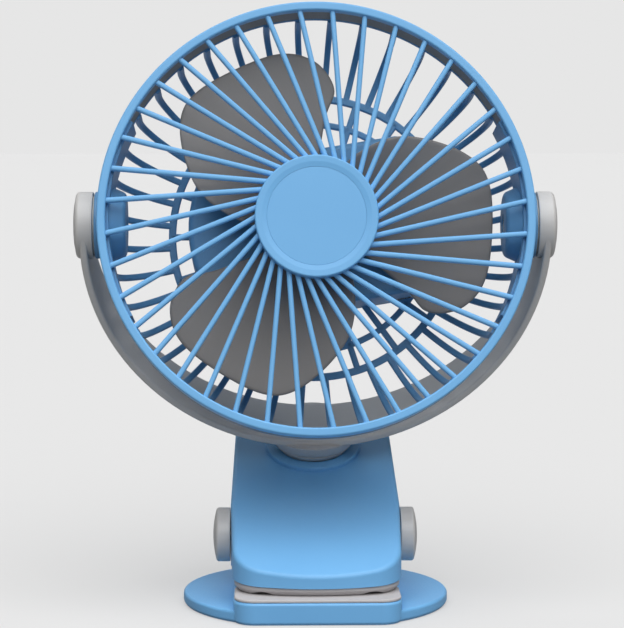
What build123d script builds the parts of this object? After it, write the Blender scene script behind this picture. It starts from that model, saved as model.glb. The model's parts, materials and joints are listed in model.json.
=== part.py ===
from build123d import *
from math import cos, pi, radians, sin, sqrt, tan
import os

# Desk clip fan, millimetres and degrees, +Z up, the front of the fan towards -Y.
# The origin is the middle of the mat under the round base, on the table.

# Stance: where the neck stands on the jaw, how the yoke leans and how the head tilts
seat_y = 32.3
seat_z = 44.5
neck_lean = 23.0
head_tilt = 12.2

# Walls and plays that many pieces share
shell_wall = 2.2
running_play = 0.08
pressed_play = 0.02
seat_play = 0.1
moving_play = 0.3
washer_play = 0.05

# Base plate, lower jaw block and mat
base_radius = 42.0
base_thickness = 3.6
mat_margin = 5.0
mat_thickness = 1.0
mat_recess = 0.85
mat_front_margin = 3.4
block_half_width = 26.0
block_front_y = -38.0
block_rear_y = 15.0
block_top_z = 6.9
block_corner = 7.0
lower_pad_thickness = 1.0
pad_rear_y = -13.0
pad_inset = 0.4

# Clip hinge
hinge_y = 3.0
hinge_z = 20.7
pin_radius = 2.0
ear_thickness = 4.0
ear_radius = 7.0
ear_foot_front_y = -6.0
ear_play = 0.9
hinge_cap_radius = 8.6
hinge_cap_height = 5.5
hinge_cap_edge = 1.6
hinge_cap_bore_depth = 3.6
sleeve_radius = 5.0

# Torsion spring round the sleeve
spring_radius = 6.2
spring_wire = 1.4
spring_turns = 6
spring_pitch = 2.1
spring_leg = 9.0
spring_rib_width = 18.0
spring_rib_length = 3.0
spring_check_steps = 24

# Upper jaw
jaw_half_width_front = 26.0
jaw_half_width_hinge = 27.0
jaw_half_width_rear = 25.5
jaw_front_y = -34.0
jaw_rear_y = 50.0
jaw_front_bow = 5.5
jaw_front_corner = 12.0
jaw_rear_corner = 8.0
jaw_lip_z = 10.5
jaw_lip_height = 4.0
jaw_lobe_radius = 10.0
lobe_front_angle = 229.0
lobe_rear_angle = 328.0
jaw_edge_round = 1.6
lever_thickness = 8.0
liner_thickness = 1.8
liner_front_gap = 1.5
liner_rear_y = -9.0
upper_pad_inset = 0.6
upper_pad_chamfer = 1.5
pad_groove_x = 17.0
pad_groove_width = 6.6
pad_groove_depth = 0.9
cover_front_y = 20.0
jaw_screw_x = 14.0
liner_screw_y = -20.0
cover_screw_y = 24.0
post_radius = 2.8

# Small screws
screw_radius = 1.0
screw_head_radius = 1.9
screw_head_height = 1.2
screw_length = 5.0
screw_slot_width = 0.5
screw_slot_depth = 0.6
screw_hole_play = 0.15

# Neck under the yoke
neck_drop = 6.85
collar_height = 1.4
collar_radius = 15.6
bowl_radius = 16.0
bowl_rise = 5.75
swivel_washer_thickness = 0.5
spindle_radius = 4.5
wave_washer_thickness = 0.6
swivel_plate_radius = 8.5
swivel_plate_thickness = 1.2
swivel_screw_radius = 1.5
swivel_screw_head_radius = 3.2
swivel_screw_head_height = 2.0
swivel_screw_length = 9.0

# Yoke
yoke_gap = 3.45
yoke_drop = 1.3
yoke_thickness = 2.4
yoke_end_width = 21.0
yoke_foot_width = 24.6
yoke_edge_round = 0.7
yoke_disc_radius = 10.5
yoke_disc_gap = 1.8
yoke_disc_thickness = 5.5
yoke_disc_round = 1.4
pivot_cap_radius = 8.2
pivot_cap_recess = 0.7
pivot_cap_rise = 0.8
pivot_pocket_radius = 5.0
pivot_pocket_depth = 2.6

# Pivot bolts
bolt_radius = 2.0
bolt_head_radius = 4.2
bolt_head_height = 2.0
friction_washer_radius = 9.0
friction_washer_thickness = 0.4
nut_radius = 3.6
nut_height = 2.0
nut_recess = 0.3

# Fan head: distances d along the fan axis, forward from the tilt axis
blade_tip_gap = 8.9
ring_wall = 2.7
ring_front_d = 17.0
ring_rear_d = 9.0
ring_lap = 4.7
ring_round = 0.6
band_rear_d = 4.6
band_end_angle = 28.0
ear_wall = 3.6
ear_rear_d = -5.0
rear_rim_depth = 2.0
hub_radius = 19.1
hub_front_d = 18.8
hub_rear_d = 13.8
hub_wall = 1.8
hub_edge_round = 0.8
dish_radius = 16.9
dish_slope = 1.5
dish_depth = 0.8
badge_thickness = 0.8
spoke_count = 40
spoke_width = 1.6
spoke_depth = 2.4
spoke_round = 0.7
spoke_swirl = 24.0
spoke_rim_front_d = 16.3
spoke_hub_front_d = 16.4

# Rear grille
bar_count = 40
bar_width = 2.0
bar_thickness = 2.0
bar_bend_d = -5.5
rear_ring_width = 2.4
inner_ring_radius = 37.2
inner_ring_width = 2.0
inner_spoke_count = 20
boss_radius = 13.0
boss_end_radius = 10.0
boss_round = 2.0
boss_tip_gap = 3.0

# Motor pod
pod_turn = 9.5
pod_front_d = -5.0
pod_wall = 2.0
pod_corner = 3.0
pod_front_round = 2.0
pod_cover_thickness = 3.0
pod_cover_round = 1.6
pod_cover_lip = 1.4
pod_lip_wall = 1.4
cover_post_radius = 2.4
cover_post_bite = 0.4

# Motor
motor_radius = 12.0
motor_length = 13.0
motor_wall = 1.0
motor_nose_radius = 4.0
motor_nose_length = 1.6
bearing_radius = 3.0
bearing_length = 3.0
end_cap_thickness = 1.6
shaft_radius = 1.2
armature_radius = 9.5
armature_length = 6.0
armature_poles = 3
armature_slot_depth = 7.0
armature_slot_width = 2.0
motor_screw_circle = 8.0
shaft_end_play = 0.2

# Battery, circuit board, switch, socket, button and light
cell_radius = 8.25
cell_length = 34.0
cell_edge_round = 0.8
cell_motor_gap = 4.75
cell_floor_gap = 1.0
cell_cover_gap = 1.65
cell_end_gap = 6.2
cell_corner_gap = 0.66
cell_post_gap = 0.85
cell_rib_y = 10.0
cell_rib_height = 6.0
board_post_gap = 1.1
board_end_gap = 2.0
board_width = 14.0
board_top_y = 14.0
board_thickness = 1.6
board_post_radius = 2.0
board_post_y = 11.0
switch_width = 6.0
switch_body_height = 2.4
switch_stem_radius = 1.7
switch_stem_length = 4.0
switch_stem_depth = 0.6
button_radius = 5.0
button_flange_radius = 6.2
button_flange_thickness = 0.8
button_proud = 1.4
button_round = 0.6
button_travel = 0.6
button_y = 4.0
light_radius = 1.25
light_proud = 0.2
light_flange_radius = 1.9
light_flange_thickness = 0.8
light_y = -5.5
socket_width = 9.0
socket_height = 3.3
socket_length = 7.4
socket_wall = 0.35
socket_round = 1.4
socket_tongue_width = 6.6
socket_tongue_thickness = 0.7
socket_tongue_length = 5.0

# Fan blades
blade_count = 3
blade_tip_radius = 56.3
blade_hub_radius = 13.0
blade_hub_wall = 1.6
blade_hub_rear_d = -3.2
blade_hub_front_d = 11.0
blade_hub_round = 1.2
blade_boss_radius = 3.2
blade_thickness = 1.6
blade_rear_d = -2.4
blade_front_d = 9.6
blade_camber = 2.2
blade_centre_angle = 125.0
blade_root_half_chord = 18.0
blade_tip_half_chord = 48.0
blade_nut_radius = 2.6
blade_nut_height = 1.6
# Petal outline: share of the tip radius, and degrees from the blade's middle line
petal_outline = [
    (0.2, -33.0),
    (0.6, -40.5),
    (0.795, -43.0),
    (0.95, -34.0),
    (1.0, -20.0),
    (1.0, 6.0),
    (0.924, 20.0),
    (0.69, 39.0),
    (0.44, 54.0),
    (0.2, 68.0),
]

# The blades' sweep sets the ring, and the ring sets the yoke and the length of the neck
ring_radius = blade_tip_radius + blade_tip_gap + ring_wall
boss_inner_x = blade_tip_radius + boss_tip_gap
yoke_outer_radius = ring_radius + yoke_gap + yoke_thickness
yoke_disc_inner_x = ring_radius + yoke_disc_gap
yoke_disc_outer_x = yoke_disc_inner_x + yoke_disc_thickness
yoke_foot_distance = yoke_outer_radius + yoke_drop
seat_distance = yoke_foot_distance + neck_drop
bowl_centre_distance = yoke_foot_distance - bowl_rise
mat_radius = base_radius - mat_margin

# Planes: the yoke leans forward, the head tilts up on the same axis, and the pod sits turned in the head
swivel_up = Vector(0, -sin(radians(neck_lean)), cos(radians(neck_lean)))
seat_point = Vector(0, seat_y, seat_z)
tilt_point = seat_point + swivel_up * seat_distance
yoke_forward = Vector(0, -cos(radians(neck_lean)), -sin(radians(neck_lean)))
head_forward = Vector(0, -cos(radians(head_tilt)), sin(radians(head_tilt)))
head_up = Vector(0, sin(radians(head_tilt)), cos(radians(head_tilt)))
yoke_plane = Plane(origin=tilt_point, x_dir=(1, 0, 0), z_dir=yoke_forward)
swivel_plane = Plane(origin=tilt_point, x_dir=(1, 0, 0), z_dir=swivel_up)
head_plane = Plane(origin=tilt_point, x_dir=(1, 0, 0), z_dir=head_forward)
pod_right = Vector(1, 0, 0) * cos(radians(pod_turn)) + head_up * sin(radians(pod_turn))
pod_up = head_up * cos(radians(pod_turn)) - Vector(1, 0, 0) * sin(radians(pod_turn))
pod_plane = Plane(origin=tilt_point, x_dir=pod_right, z_dir=head_forward)
swivel_axis = Axis(tilt_point, swivel_up)
fan_axis = Axis(tilt_point, head_forward)
tilt_axis = Axis(tilt_point, (1, 0, 0))


def head_radial_plane(angle):
    """Plane through the fan axis: local x runs outward at the angle, local y runs forward."""
    outward = Vector(1, 0, 0) * cos(radians(angle)) + head_up * sin(radians(angle))
    return Plane(origin=tilt_point, x_dir=outward, z_dir=outward.cross(head_forward))


def bowl_radius_at(distance):
    """Radius of the bowl at a distance below the tilt axis."""
    return sqrt(bowl_radius**2 - (distance - bowl_centre_distance) ** 2)


def save(piece, name):
    """Label one finished piece and write its STEP file."""
    os.makedirs("parts", exist_ok=True)
    piece.part.label = name
    export_step(piece.part, f"parts/{name}.step")


# Heights of the base
base_bottom_z = mat_thickness - mat_recess
base_top_z = base_bottom_z + base_thickness
lower_pad_top_z = block_top_z + lower_pad_thickness
ear_outer_x = jaw_half_width_hinge - shell_wall - ear_play
ear_middle_x = ear_outer_x - ear_thickness / 2
ear_inner_x = ear_outer_x - ear_thickness
spring_rib_y = hinge_y + spring_leg - spring_rib_length / 2
spring_rib_top_z = hinge_z - spring_radius - spring_wire / 2 - washer_play

# Base plate with the lower jaw block, the hinge ears and the rib under the spring
with BuildPart() as base_plate:
    with BuildSketch(Plane.XY.offset(base_bottom_z)):
        Circle(base_radius)
        with Locations((0, block_front_y)):
            Rectangle(2 * base_radius, 2 * base_radius, align=(Align.CENTER, Align.MAX), mode=Mode.SUBTRACT)
    extrude(amount=base_thickness)
    with BuildSketch(Plane.XY.offset(base_bottom_z)):
        with Locations((0, (block_front_y + block_rear_y) / 2)):
            RectangleRounded(2 * block_half_width, block_rear_y - block_front_y, block_corner)
    extrude(amount=block_top_z - base_bottom_z)
    for side in (-1, 1):
        with BuildSketch(Plane.YZ.offset(side * ear_middle_x)):
            with BuildLine():
                Polyline(
                    (ear_foot_front_y, base_top_z),
                    (ear_foot_front_y, block_top_z),
                    (hinge_y - ear_radius, hinge_z),
                    (hinge_y + ear_radius, hinge_z),
                    (block_rear_y, block_top_z),
                    (block_rear_y, base_top_z),
                    close=True,
                )
            make_face()
            with Locations((hinge_y, hinge_z)):
                Circle(ear_radius)
                Circle(pin_radius + running_play, mode=Mode.SUBTRACT)
        extrude(amount=ear_thickness / 2, both=True)
    with BuildSketch(Plane.XY.offset(base_top_z)):
        with Locations((0, spring_rib_y)):
            Rectangle(spring_rib_width, spring_rib_length)
    extrude(amount=spring_rib_top_z - base_top_z)
    with BuildSketch(Plane.XY.offset(base_bottom_z)):
        Circle(mat_radius + seat_play)
        with Locations((0, block_front_y + mat_front_margin)):
            Rectangle(2 * base_radius, 2 * base_radius, align=(Align.CENTER, Align.MAX), mode=Mode.SUBTRACT)
    extrude(amount=mat_recess, mode=Mode.SUBTRACT)
save(base_plate, "base_plate")

# Thin rubber mat let into the underside of the base
with BuildPart() as anti_slip_mat:
    with BuildSketch(Plane.XY):
        Circle(mat_radius)
        with Locations((0, block_front_y + mat_front_margin + seat_play)):
            Rectangle(2 * base_radius, 2 * base_radius, align=(Align.CENTER, Align.MAX), mode=Mode.SUBTRACT)
    extrude(amount=mat_thickness)
save(anti_slip_mat, "anti_slip_mat")

# Soft pad on the lower jaw
with BuildPart() as lower_jaw_pad:
    with BuildSketch(Plane.XY.offset(block_top_z)):
        with Locations((0, (block_front_y + pad_inset + pad_rear_y) / 2)):
            RectangleRounded(
                2 * (block_half_width - pad_inset),
                pad_rear_y - block_front_y - pad_inset,
                block_corner - pad_inset,
            )
    extrude(amount=lower_pad_thickness)
save(lower_jaw_pad, "lower_jaw_pad")

# Hinge pin, its sleeve and the two end caps
pin_half_length = jaw_half_width_hinge + hinge_cap_bore_depth
with BuildPart() as hinge_pin:
    with BuildSketch(Plane.YZ):
        with Locations((hinge_y, hinge_z)):
            Circle(pin_radius)
    extrude(amount=pin_half_length, both=True)
save(hinge_pin, "hinge_pin")

with BuildPart() as hinge_sleeve:
    with BuildSketch(Plane.YZ):
        with Locations((hinge_y, hinge_z)):
            Circle(sleeve_radius)
            Circle(pin_radius + running_play, mode=Mode.SUBTRACT)
    extrude(amount=ear_inner_x - seat_play, both=True)
save(hinge_sleeve, "hinge_sleeve")

for side, hand in ((-1, "left"), (1, "right")):
    cap_face = Plane(
        origin=(side * (jaw_half_width_hinge + seat_play), hinge_y, hinge_z),
        x_dir=(0, 1, 0),
        z_dir=(side, 0, 0),
    )
    with BuildPart() as hinge_cap:
        with BuildSketch(cap_face):
            Circle(hinge_cap_radius)
        extrude(amount=hinge_cap_height)
        fillet(hinge_cap.faces().sort_by(Axis((0, 0, 0), (side, 0, 0)))[-1].edges(), hinge_cap_edge)
        with BuildSketch(cap_face):
            Circle(pin_radius + pressed_play)
        extrude(amount=hinge_cap_bore_depth, mode=Mode.SUBTRACT)
    save(hinge_cap, f"hinge_cap_{hand}")

# Torsion spring: half-turn arcs round the sleeve, with one leg on the base and one under the lever
half_turns = 2 * spring_turns
coil_half_length = spring_turns * spring_pitch / 2


def coil_point(quarter):
    """Point on the spring's centre line after a number of quarter turns, from the bottom of the coil."""
    angle = -pi / 2 + quarter * pi / 2
    return Vector(
        -coil_half_length + quarter * spring_pitch / 4,
        hinge_y - spring_radius * cos(angle),
        hinge_z + spring_radius * sin(angle),
    )


with BuildPart() as torsion_spring:
    with BuildLine() as spring_path:
        Line(coil_point(0) + Vector(0, spring_leg, 0), coil_point(0))
        for half in range(half_turns + 1):
            ThreePointArc(coil_point(2 * half), coil_point(2 * half + 1), coil_point(2 * half + 2))
        Line(coil_point(2 * half_turns + 2), coil_point(2 * half_turns + 2) + Vector(0, spring_leg, 0))
    with BuildSketch(Plane(origin=spring_path.line @ 0, z_dir=spring_path.line % 0)):
        Circle(spring_wire / 2)
    sweep()
save(torsion_spring, "torsion_spring")
coil_samples = spring_check_steps * spring_turns
coil_line = [coil_point(4 * spring_turns * step / coil_samples) for step in range(coil_samples + 1)]
turn_gaps = [
    (coil_line[later] - coil_line[earlier]).length - spring_wire
    for earlier in range(coil_samples)
    for later in range(earlier + coil_samples // (2 * spring_turns), coil_samples + 1)
]
print("least gap between spring turns", round(min(turn_gaps), 3))

# Upper jaw: a sloping shell whose top lies square to the swivel axis at the neck
jaw_slope = tan(radians(neck_lean))
jaw_lip_top_z = jaw_lip_z + jaw_lip_height
jaw_rear_top_z = seat_point.Z + (jaw_rear_y - seat_point.Y) * jaw_slope
lever_rear_z = jaw_rear_top_z - lever_thickness
lever_rear_y = jaw_rear_y - shell_wall
lip_rear = Vector(
    0,
    hinge_y + jaw_lobe_radius * cos(radians(lobe_front_angle)),
    hinge_z + jaw_lobe_radius * sin(radians(lobe_front_angle)),
)
lever_root = Vector(
    0,
    hinge_y + jaw_lobe_radius * cos(radians(lobe_rear_angle)),
    hinge_z + jaw_lobe_radius * sin(radians(lobe_rear_angle)),
)
lip_slope = (lip_rear.Z - jaw_lip_z) / (lip_rear.Y - jaw_front_y)
lever_slope = (lever_rear_z - lever_root.Z) / (lever_rear_y - lever_root.Y)
lip_run = Vector(0, 1, lip_slope).normalized()
lever_run = Vector(0, 1, lever_slope).normalized()


def lip_line_z(y):
    """Height of the jaw's lower front edge."""
    return jaw_lip_z + (y - jaw_front_y) * lip_slope


def lever_line_z(y):
    """Height of the lever's lower edge."""
    return lever_root.Z + (y - lever_root.Y) * lever_slope


def jaw_plan(inset):
    """Jaw outline from above, drawn in by an inset."""
    with BuildSketch(Plane.XY) as outline:
        with BuildLine():
            front_side_y = jaw_front_y + jaw_front_bow
            Polyline(
                (-jaw_half_width_front, front_side_y),
                (-jaw_half_width_hinge, hinge_y),
                (-jaw_half_width_rear, jaw_rear_y),
                (jaw_half_width_rear, jaw_rear_y),
                (jaw_half_width_hinge, hinge_y),
                (jaw_half_width_front, front_side_y),
            )
            ThreePointArc(
                (jaw_half_width_front, front_side_y),
                (0, jaw_front_y),
                (-jaw_half_width_front, front_side_y),
            )
        make_face()
        fillet(outline.vertices().sort_by(Axis.Y)[-2:], jaw_rear_corner)
        fillet(outline.vertices().sort_by(Axis.Y)[:2], jaw_front_corner)
        if inset:
            offset(amount=-inset, mode=Mode.REPLACE)
    return outline.sketch


jaw_reach = 2 * jaw_half_width_hinge
liner_plane = Plane(
    origin=(0, liner_screw_y, lip_line_z(liner_screw_y)),
    x_dir=(1, 0, 0),
    z_dir=Vector(1, 0, 0).cross(lip_run),
)
cover_plane = Plane(
    origin=(0, cover_screw_y, lever_line_z(cover_screw_y)),
    x_dir=(1, 0, 0),
    z_dir=Vector(1, 0, 0).cross(lever_run),
)
neck_plane = swivel_plane.offset(-seat_distance)
jaw_screw_places = [(-jaw_screw_x, 0), (jaw_screw_x, 0)]

# Hollow of the upper jaw, which leaves the screw posts and the rib over the spring's upper leg
inner_seat = seat_point - swivel_up * shell_wall
with BuildPart() as jaw_hollow:
    with BuildSketch(Plane.YZ):
        with BuildLine():
            inner_front = (jaw_front_y + shell_wall, jaw_lip_top_z - shell_wall)
            inner_rear_y = lever_rear_y - shell_wall
            inner_rear_z = inner_seat.Z + (inner_rear_y - inner_seat.Y) * jaw_slope
            TangentArc(
                (inner_seat.Y, inner_seat.Z),
                inner_front,
                tangent=(-1, -jaw_slope),
            )
            Polyline(
                inner_front,
                (inner_front[0], 0),
                (inner_rear_y, 0),
                (inner_rear_y, inner_rear_z),
                (inner_seat.Y, inner_seat.Z),
            )
        make_face()
    extrude(amount=jaw_reach, both=True)
    extrude(jaw_plan(shell_wall), amount=jaw_rear_top_z, mode=Mode.INTERSECT)
    for screw_plane, plate_thickness in ((liner_plane, liner_thickness), (cover_plane, liner_thickness)):
        with BuildSketch(screw_plane.offset(plate_thickness)):
            with Locations(jaw_screw_places):
                Circle(post_radius)
        extrude(amount=jaw_rear_top_z, mode=Mode.SUBTRACT)
    with BuildSketch(Plane.XY.offset(hinge_z + spring_radius + spring_wire / 2 + washer_play)):
        with Locations((0, spring_rib_y)):
            Rectangle(spring_rib_width, spring_rib_length)
    extrude(amount=jaw_rear_top_z, mode=Mode.SUBTRACT)

with BuildPart() as upper_jaw_shell:
    with BuildSketch(Plane.YZ):
        with BuildLine():
            TangentArc(
                (seat_point.Y, seat_point.Z),
                (jaw_front_y, jaw_lip_top_z),
                tangent=(-1, -jaw_slope),
            )
            Polyline(
                (jaw_front_y, jaw_lip_top_z),
                (jaw_front_y, jaw_lip_z),
                (lip_rear.Y, lip_rear.Z),
            )
            ThreePointArc(
                (lip_rear.Y, lip_rear.Z),
                (hinge_y, hinge_z - jaw_lobe_radius),
                (lever_root.Y, lever_root.Z),
            )
            Polyline(
                (lever_root.Y, lever_root.Z),
                (lever_rear_y, lever_rear_z),
                (jaw_rear_y, jaw_rear_top_z),
                (seat_point.Y, seat_point.Z),
            )
        make_face()
    extrude(amount=jaw_reach, both=True)
    extrude(jaw_plan(0), amount=2 * jaw_rear_top_z, mode=Mode.INTERSECT)
    top_faces = upper_jaw_shell.faces().filter_by(lambda face: face.normal_at().Z > cos(radians(45)))
    fillet(top_faces.edges().filter_by(Axis.X, reverse=True), jaw_edge_round)
    with BuildSketch(neck_plane.offset(-shell_wall / 2)):
        Circle(collar_radius)
    extrude(amount=collar_height + shell_wall / 2)
    fillet(upper_jaw_shell.edges().filter_by(GeomType.CIRCLE).sort_by(swivel_axis)[-1], collar_height / 3)
    add(jaw_hollow.part, mode=Mode.SUBTRACT)
    with BuildSketch(neck_plane):
        Circle(bowl_radius_at(seat_distance - collar_height) + moving_play)
    extrude(amount=collar_height, mode=Mode.SUBTRACT)
    with BuildSketch(neck_plane):
        Circle(spindle_radius + running_play)
    extrude(amount=-2 * shell_wall, mode=Mode.SUBTRACT)
    with BuildSketch(Plane.YZ):
        with Locations((hinge_y, hinge_z)):
            Circle(pin_radius + pressed_play)
    extrude(amount=jaw_reach, both=True, mode=Mode.SUBTRACT)
    for screw_plane in (liner_plane, cover_plane):
        with BuildSketch(screw_plane):
            with Locations(jaw_screw_places):
                Circle(screw_radius + pressed_play)
        extrude(amount=screw_head_height + screw_length, mode=Mode.SUBTRACT)
save(upper_jaw_shell, "upper_jaw_shell")

# Plate that closes the front of the upper jaw from below, and the soft pad glued under it
with BuildPart() as upper_jaw_liner:
    with BuildSketch(Plane.YZ):
        with BuildLine():
            liner_front_y = jaw_front_y + shell_wall + liner_front_gap
            Polyline(
                (liner_front_y, lip_line_z(liner_front_y)),
                (liner_rear_y, lip_line_z(liner_rear_y)),
                (liner_rear_y, lip_line_z(liner_rear_y) + liner_thickness),
                (liner_front_y, lip_line_z(liner_front_y) + liner_thickness),
                close=True,
            )
        make_face()
    extrude(amount=jaw_reach, both=True)
    extrude(jaw_plan(shell_wall + seat_play), amount=jaw_rear_top_z, mode=Mode.INTERSECT)
    with BuildSketch(liner_plane):
        with Locations(jaw_screw_places):
            Circle(screw_head_radius + seat_play)
    extrude(amount=screw_head_height, mode=Mode.SUBTRACT)
    with BuildSketch(liner_plane):
        with Locations(jaw_screw_places):
            Circle(screw_radius + screw_hole_play)
    extrude(amount=2 * liner_thickness, mode=Mode.SUBTRACT)
save(upper_jaw_liner, "upper_jaw_liner")

upper_pad_bottom_z = lower_pad_top_z + seat_play
groove_radius = (pad_groove_width**2 / 4 + pad_groove_depth**2) / (2 * pad_groove_depth)
with BuildPart() as upper_jaw_pad:
    with BuildSketch(Plane.YZ):
        with BuildLine():
            Polyline(
                (jaw_front_y, upper_pad_bottom_z),
                (pad_rear_y, upper_pad_bottom_z),
                (pad_rear_y, lip_line_z(pad_rear_y)),
                (jaw_front_y, lip_line_z(jaw_front_y)),
                close=True,
            )
        make_face()
    extrude(amount=jaw_reach, both=True)
    extrude(jaw_plan(upper_pad_inset), amount=jaw_rear_top_z, mode=Mode.INTERSECT)
    underside = upper_jaw_pad.faces().sort_by(Axis.Z)[0]
    chamfer(underside.edges().filter_by(GeomType.CIRCLE), upper_pad_chamfer)
    with BuildSketch(Plane.XZ):
        for side in (-1, 1):
            with Locations((side * pad_groove_x, upper_pad_bottom_z + pad_groove_depth - groove_radius)):
                Circle(groove_radius)
    extrude(amount=base_radius, both=True, mode=Mode.SUBTRACT)
save(upper_jaw_pad, "upper_jaw_pad")

# Plate that closes the lever from below
with BuildPart() as lever_cover:
    with BuildSketch(Plane.YZ):
        with BuildLine():
            cover_rear_y = lever_rear_y - shell_wall - seat_play
            cover_rise = liner_thickness * sqrt(1 + lever_slope**2)
            Polyline(
                (cover_front_y, lever_line_z(cover_front_y)),
                (cover_rear_y, lever_line_z(cover_rear_y)),
                (cover_rear_y, lever_line_z(cover_rear_y) + cover_rise),
                (cover_front_y, lever_line_z(cover_front_y) + cover_rise),
                close=True,
            )
        make_face()
    extrude(amount=jaw_reach, both=True)
    extrude(jaw_plan(shell_wall + seat_play), amount=jaw_rear_top_z, mode=Mode.INTERSECT)
    with BuildSketch(cover_plane):
        with Locations(jaw_screw_places):
            Circle(screw_head_radius + seat_play)
    extrude(amount=screw_head_height, mode=Mode.SUBTRACT)
    with BuildSketch(cover_plane):
        with Locations(jaw_screw_places):
            Circle(screw_radius + screw_hole_play)
    extrude(amount=2 * liner_thickness, mode=Mode.SUBTRACT)
save(lever_cover, "lever_cover")


def slotted_screws(face, places, shank_length):
    """Small screws whose heads start on a plane and whose shanks run along its normal."""
    with BuildPart() as screws:
        with BuildSketch(face):
            with Locations(places):
                Circle(screw_head_radius)
        extrude(amount=screw_head_height)
        with BuildSketch(face.offset(screw_head_height)):
            with Locations(places):
                Circle(screw_radius)
        extrude(amount=shank_length)
        with BuildSketch(face):
            with Locations(places):
                Rectangle(2 * screw_head_radius, screw_slot_width)
        extrude(amount=screw_slot_depth, mode=Mode.SUBTRACT)
    return screws


save(slotted_screws(liner_plane, jaw_screw_places, screw_length), "liner_screws")
save(slotted_screws(cover_plane, jaw_screw_places, screw_length), "lever_cover_screws")

# Yoke: a tapered half hoop with a disc at each end, and a bowl-shaped foot with its spindle
yoke_side_plane = Plane(origin=tilt_point, x_dir=yoke_forward, z_dir=(-1, 0, 0))
bowl_bottom_distance = seat_distance - swivel_washer_thickness - 2 * washer_play
bowl_top_distance = yoke_foot_distance - yoke_thickness / 2
spindle_end_distance = seat_distance + shell_wall + wave_washer_thickness + 2 * washer_play


def disc_face(side, x):
    """Plane across the tilt axis at a distance out to one side, facing outward."""
    return Plane(origin=tilt_point + Vector(side * x, 0, 0), x_dir=(0, 1, 0), z_dir=(side, 0, 0))


def tilt_section_plane(side):
    """Plane through the tilt axis: local x runs out along the axis to one side, local y is the radius."""
    return Plane(origin=tilt_point, x_dir=(side, 0, 0), z_dir=(0, side, 0))


with BuildPart() as yoke:
    with BuildSketch(yoke_plane):
        with Locations((0, -yoke_drop)):
            Circle(yoke_outer_radius)
            Circle(yoke_outer_radius - yoke_thickness, mode=Mode.SUBTRACT)
        Rectangle(
            2 * yoke_outer_radius,
            yoke_outer_radius,
            align=(Align.CENTER, Align.MIN),
            mode=Mode.SUBTRACT,
        )
    extrude(amount=yoke_foot_width, both=True)
    with BuildSketch(yoke_side_plane):
        with BuildLine():
            Polyline(
                (-yoke_end_width / 2, 0),
                (yoke_end_width / 2, 0),
                (yoke_foot_width / 2, -yoke_foot_distance),
                (-yoke_foot_width / 2, -yoke_foot_distance),
                close=True,
            )
        make_face()
    extrude(amount=2 * yoke_outer_radius, both=True, mode=Mode.INTERSECT)
    band_ends = yoke.faces().filter_by(Axis(tilt_point, swivel_up)).edges()
    fillet([edge for edge in yoke.edges() if edge not in band_ends], yoke_edge_round)
    for side in (-1, 1):
        with BuildSketch(tilt_section_plane(side)) as disc_section:
            with Locations((yoke_disc_inner_x, 0)):
                Rectangle(
                    yoke_disc_outer_x - yoke_disc_inner_x,
                    yoke_disc_radius,
                    align=(Align.MIN, Align.MIN),
                )
            fillet(disc_section.vertices().group_by(Axis.X)[-1].sort_by(Axis.Y)[-1], yoke_disc_round)
        revolve(axis=tilt_axis)
    with BuildSketch(yoke_plane):
        with BuildLine():
            Polyline(
                (0, -bowl_top_distance),
                (bowl_radius_at(bowl_top_distance), -bowl_top_distance),
            )
            middle_distance = (bowl_top_distance + bowl_bottom_distance) / 2
            ThreePointArc(
                (bowl_radius_at(bowl_top_distance), -bowl_top_distance),
                (bowl_radius_at(middle_distance), -middle_distance),
                (bowl_radius_at(bowl_bottom_distance), -bowl_bottom_distance),
            )
            Polyline(
                (bowl_radius_at(bowl_bottom_distance), -bowl_bottom_distance),
                (spindle_radius, -bowl_bottom_distance),
                (spindle_radius, -spindle_end_distance),
                (0, -spindle_end_distance),
                (0, -bowl_top_distance),
            )
        make_face()
    revolve(axis=swivel_axis)
    with BuildSketch(swivel_plane.offset(-spindle_end_distance)):
        Circle(swivel_screw_radius + pressed_play)
    extrude(amount=swivel_screw_length, mode=Mode.SUBTRACT)
    for side in (-1, 1):
        with BuildSketch(disc_face(side, yoke_disc_inner_x)):
            Circle(bolt_radius + running_play)
        extrude(amount=yoke_disc_outer_x, mode=Mode.SUBTRACT)
        with BuildSketch(disc_face(side, yoke_disc_outer_x)):
            Circle(pivot_cap_radius + seat_play)
        extrude(amount=-pivot_cap_recess, mode=Mode.SUBTRACT)
        with BuildSketch(disc_face(side, yoke_disc_outer_x - pivot_cap_recess)):
            Circle(pivot_pocket_radius)
        extrude(amount=-pivot_pocket_depth, mode=Mode.SUBTRACT)
save(yoke, "yoke")

# Neck stack: slip washer on the jaw, wave washer, plate and screw under the jaw's skin
with BuildPart() as swivel_washer:
    with BuildSketch(neck_plane.offset(washer_play)):
        Circle(bowl_radius_at(bowl_bottom_distance))
        Circle(spindle_radius + moving_play, mode=Mode.SUBTRACT)
    extrude(amount=swivel_washer_thickness)
save(swivel_washer, "swivel_washer")

with BuildPart() as wave_washer:
    with BuildSketch(neck_plane.offset(-shell_wall - washer_play)):
        Circle(swivel_plate_radius)
        Circle(spindle_radius + moving_play, mode=Mode.SUBTRACT)
    extrude(amount=-wave_washer_thickness)
save(wave_washer, "wave_washer")

with BuildPart() as swivel_plate:
    with BuildSketch(swivel_plane.offset(-spindle_end_distance)):
        Circle(swivel_plate_radius)
        Circle(swivel_screw_radius + screw_hole_play, mode=Mode.SUBTRACT)
    extrude(amount=-swivel_plate_thickness)
save(swivel_plate, "swivel_plate")

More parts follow.
